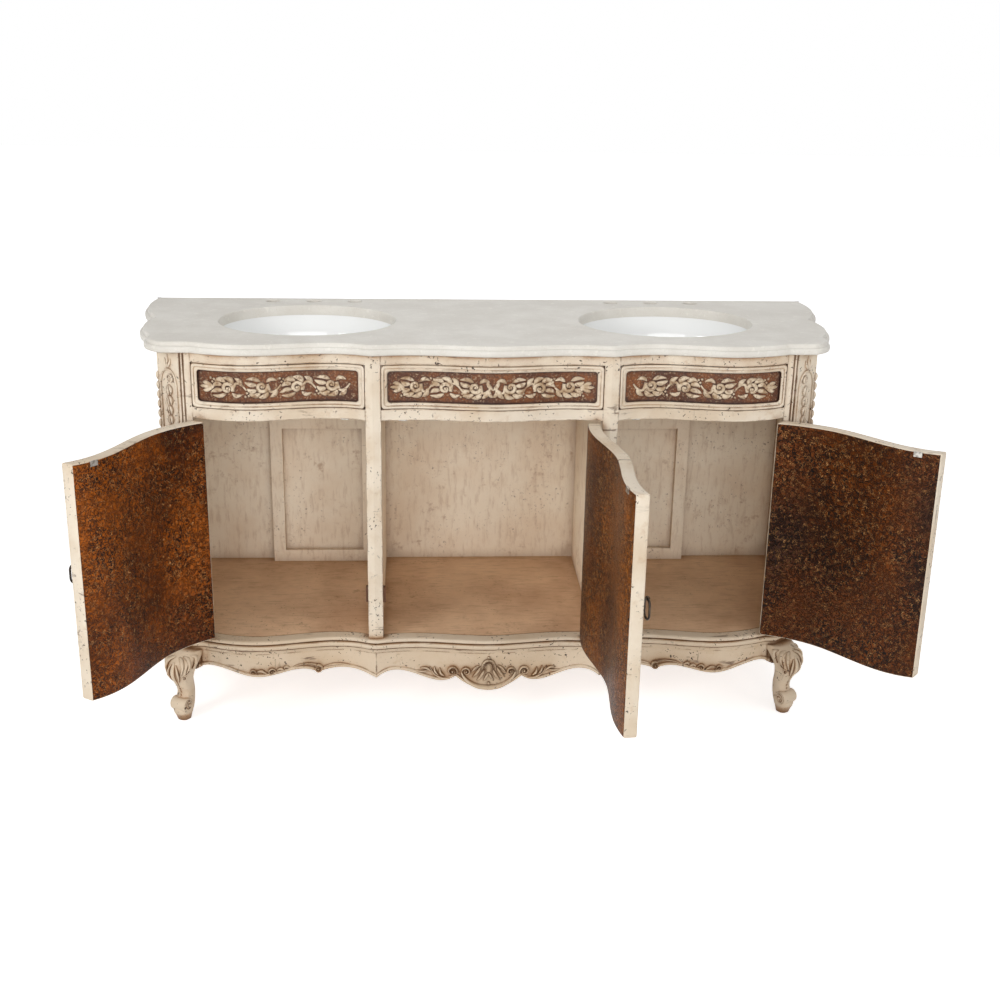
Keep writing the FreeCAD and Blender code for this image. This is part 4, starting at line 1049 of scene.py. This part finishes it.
def on_toe(side, end):
    """An end of the scroll at a toe, as a surface for carving."""
    return lambda u, v, lift: leg_place(side, TOE_REACH + u, end * (TOE_HALF_WIDTH + lift), TOE_LEVEL + v)


def make_toe_scroll(shape, side):
    """The roll at a toe: a barrel that lies across the leg."""
    rows = []
    for share, part in TOE_BARREL:
        radius = TOE_RADIUS * part
        rows.append([leg_place(side, TOE_REACH + radius * cos(turn), TOE_HALF_WIDTH * share,
                               TOE_LEVEL + radius * sin(turn)) for turn in circle(28)])
    shape.rings(rows, capped=True)


def carve_legs():
    """Leaves over the knees, beads down the shins, and a whorl on both ends of each toe scroll."""
    for name, side in SIDES:
        work = Carving(on_leg(side), relief=1.5)
        pair = Carving(on_leg(side), mirrored=True, relief=1.5, shape=work.shape)
        pair.ridge([(3, 164), (14, 158), (22, 143), (20, 124)], 3.4, 3.6)
        pair.ridge([(10, 166), (27, 161), (38, 147), (37, 130)], 3.2, 3.4)
        pair.ridge([(26, 168), (44, 163), (53, 150), (52, 138)], 3, 3.2)
        pair.ridge([(4, 150), (10, 136), (13, 118), (8, 103)], 2.8, 3.2)
        pair.volute(30, 118, 7, 90, -1.2, 1.8, 2.8, tail=[(44, 134), (38, 127)])
        work.leaves((4.4, 4.2, (0, 158), (0, 134), (0, 108), (0, 84)))
        for height in (80, 72, 64):
            work.bead(0, height, 2.6, 2.2)
        make_toe_scroll(work.shape, side)
        for end in (1, -1):
            whorl = Carving(on_toe(side, end), shape=work.shape)
            whorl.volute(0, 0, 13.6, 110, 1.9 * end, 2.3, 2.6)
        work.piece(f"leg_front_{name}_carving")


def on_post(side):
    """A corner post's canted face as a surface for carving: across it from its middle, and up."""
    front, corner = (Vector(point) for point in post_line(1)[:2])
    along = (corner - front).normalized()
    out = Vector((along.y, -along.x))
    middle = (front + corner) / 2

    def surface(u, v, lift):
        plan = middle + along * u + out * lift
        return Vector((side * plan.x, plan.y, v))

    return surface


def carve_posts():
    """An arch with a leaf over it, a rosette and a drop of bellflowers in it, and husks down the corner."""
    for name, side in SIDES:
        work = Carving(on_post(side), relief=1.3)
        pair = Carving(on_post(side), mirrored=True, relief=1.3, shape=work.shape)
        pair.ridge([(24, 262), (24, 420), (24, 620), (24, 790), (23, 818), (17, 836), (8, 845), (0, 847)],
                   1.9, 3.2, 0.8, 1, 0.1)
        pair.ridge([(24, 262), (20, 246), (9, 240), (0, 244)], 1.9, 3.2, 1, 0.8, 0.1)
        pair.leaves((3.2, 3.6, (0, 850), (6, 860), (9, 872)))
        work.leaves((3, 4, (0, 850), (0, 864), (0, 882)))
        u, v = -6, 826
        work.volute(u, v, 10, 0, 1.4, 2.6, 4.6)
        for turn in circle(6):
            work.leaves((2.8, 4.2, (u, v), (u + 9 * cos(turn), v + 9 * sin(turn))))
        level = 812
        for k in range(11):
            long = 26 - 0.9 * k
            half = 7.5 - 0.32 * k
            tip = (half * 0.55, level - long)
            pair.leaves((half * 0.52, 5.2, (0, level), (half, level - long * 0.45), tip))
            work.leaves((half * 0.5, 6.2, (0, level), (0, level - long * 0.5), (0, level - long * 1.15)))
            level -= long * 0.92
        work.bead(0, level - 2, 3.4, 4.5)
        for level in range(838, 574, -22):
            work.leaves((4.6, 4, (33.2, level), (33.8, level - 10), (33.2, level - 21)))
        work.piece(f"corner_post_{name}_carving", paint=POST_CREAM)


# Space, in millimetres, between the scrolls and the ends of a drawer's panel
RUN_MARGIN = 26
# Leaves beside a scroll: half breadth, height, and a line of steps along the run and towards its outer side
RUN_LEAVES = ((6.2, 4.8, (-14, 9), (-6, 19), (9, 22)), (6, 4.6, (3, 12), (15, 18), (28, 14)),
              (6, 4.4, (11, 5), (23, 8), (33, 1)), (4.8, 3.8, (3, -14), (17, -20), (34, -19)),
              (4.6, 3.6, (-10, -12), (-20, -19), (-33, -15)))


def carve_drawers():
    """A running scroll of plump leaves on each drawer's panel."""
    panel = on_face(PANEL_DEPTH)
    for bay in BAYS:
        low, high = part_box(f"drawer_front_{bay}")
        center = (low.x + high.x) / 2
        hand = -1 if bay == "left" else 1
        level = (low.z + high.z) / 2 * 1000 - 1
        work = Carving(lambda u, v, lift: panel(center + hand * u, v, lift), mirrored=bay == "center")
        half = (high.x - low.x) * 500 - RUN_MARGIN
        if bay == "center":
            carve_run(work, 10, half, level, 3)
            work.leaves((5, 3.6, (0, level - 20), (9, level - 10), (5, level + 6)),
                        (4.6, 3.4, (0, level - 4), (10, level + 8), (13, level + 20)))
        else:
            carve_run(work, -half, half, level, 4)
        work.piece(f"drawer_{bay}_scrolls", paint=RELIEF, slot="crackle_panel")


def carve_run(work, first, last, level, lobes):
    """Scrolls that turn up and down by turns, with plump leaves that spring from them."""
    def line(steps, u, side):
        return [(u + along, level + side * rise) for along, rise in steps]

    pitch = (last - first) / lobes
    tail = ((-pitch * 0.55, -6), (-pitch * 0.4, 7), (-pitch * 0.24, 9))
    leaves = RUN_LEAVES + ((5.8, 4.4, (-pitch * 0.42, 3), (-pitch * 0.36, 15), (-pitch * 0.22, 22)),
                           (5.6, 4.2, (10, -6), (24, -7), (pitch * 0.5, -13)))
    beads = ((pitch * 0.43, 12), (pitch * 0.38, 18), (pitch * 0.48, 20))
    for k in range(lobes):
        side = 1 if k % 2 else -1
        u = first + pitch * (k + 0.45)
        work.volute(u, level - side * 2, 13, 205 * side, -1.2 * side, 4.6, 4.2, tail=line(tail, u, side))
        for width, height, *steps in leaves:
            work.leaves((width, height, *line(steps, u, side)))
        for bead in line(beads, u, side):
            work.bead(*bead, 2.8, 2.8)
    for tip, rise in ((14, 9), (20, 0), (13, -9)):
        bend = (last + tip * 0.4, level + rise * 0.9)
        work.leaves((4.8, 4, (last - 12, level), bend, (last + tip, level + rise)))


# Studio

CAMERA_PLACE = (-0.17165, -3.50285, 1.59792)
CAMERA_YAW = radians(3.69)
CAMERA_PITCH = radians(19.31)
CAMERA_ROLL = radians(-1.06)
# Focal length as a share of the sensor's width
FOCAL_SHARE = 1.38293
FLOOR_HALF = 14
# The floor's own light where it is seen: its level near the object, and how far away it is full
FLOOR_GLOW = 0.62
GLOW_START = 1.6
GLOW_FULL = 4.5
# Strength of the surround's light, which is seen as white
WORLD_LIGHT = 0.26
LAMP_TARGET = Vector((0, -0.4, 0.5))
# Place, size and power
LAMPS = {"front": ((-0.2, -6.0, 1.9), (4.4, 2.8), 130),
         "key": ((-2.7, -2.8, 2.1), (1.2, 1.2), 46),
         "fill": ((2.6, -3.0, 2.0), (1.8, 1.8), 24),
         "top": ((0, -0.3, 3.2), (3.0, 2.0), 20),
         "back": ((0.8, 2.6, 2.6), (3.0, 1.6), 12)}


def make_camera():
    """The photograph's camera: yaw to the right, pitch down, and a small roll."""
    data = bpy.data.cameras.new("camera")
    data.lens = FOCAL_SHARE * data.sensor_width
    camera = add_object("camera", data)
    turn = Matrix.Rotation(-CAMERA_YAW, 4, "Z") @ Matrix.Rotation(pi / 2 - CAMERA_PITCH, 4, "X")
    camera.matrix_world = Matrix.Translation(CAMERA_PLACE) @ turn @ Matrix.Rotation(-CAMERA_ROLL, 4, "Z")
    bpy.context.scene.camera = camera


def make_lamps():
    """Soft lamps that all point at the object's middle."""
    for name, (place, size, power) in LAMPS.items():
        data = bpy.data.lights.new(name, "AREA")
        data.shape = "RECTANGLE"
        data.size, data.size_y = size
        data.energy = power
        lamp = add_object(name, data)
        lamp.location = place
        lamp.rotation_euler = (LAMP_TARGET - Vector(place)).to_track_quat("-Z", "Y").to_euler()


def make_floor():
    """A pale floor that keeps the object's shadow and fades to white further away."""
    data = bpy.data.meshes.new("floor")
    corners = [(x * FLOOR_HALF, y * FLOOR_HALF, 0) for x, y in ((-1, -1), (1, -1), (1, 1), (-1, 1))]
    data.from_pydata(corners, [], [(0, 1, 2, 3)])
    floor = add_object("floor", data)
    paint = Paint("floor", 0.9)
    paint.ground(paint.noise(3, 2), (250, 250, 250), (247, 247, 247))
    away = paint.add("ShaderNodeVectorMath", {0: paint.place}, operation="LENGTH").outputs["Value"]
    strength = paint.times(paint.seen(), paint.ramp(away, GLOW_START, GLOW_FULL, FLOOR_GLOW))
    glow = paint.add("ShaderNodeEmission", {"Color": (1, 1, 1, 1), "Strength": strength})
    total = paint.add("ShaderNodeAddShader", {0: paint.shader.outputs[0], 1: glow.outputs[0]})
    paint.feed(paint.tree.nodes["Material Output"].inputs["Surface"], total.outputs[0])
    data.materials.append(paint.material)


def make_world():
    """A white surround that lights the room softly."""
    world = bpy.data.worlds.new("studio")
    world.use_nodes = True
    bpy.context.scene.world = world
    nodes = Nodes(world.node_tree)
    background = world.node_tree.nodes["Background"].inputs
    background["Color"].default_value = (1, 1, 1, 1)
    nodes.feed(background["Strength"], nodes.ramp(nodes.seen(), 0, 1, WORLD_LIGHT))


paint_nodes()
make_countertop()
make_base_moulding()
make_aprons()
make_corner_aprons()
make_front_legs()
make_doors()
make_pulls()
make_drawers()
carve_center_apron()
carve_side_aprons()
carve_legs()
carve_posts()
carve_drawers()
make_camera()
make_floor()
make_world()
make_lamps()
bpy.context.scene.view_settings.view_transform = "Standard"
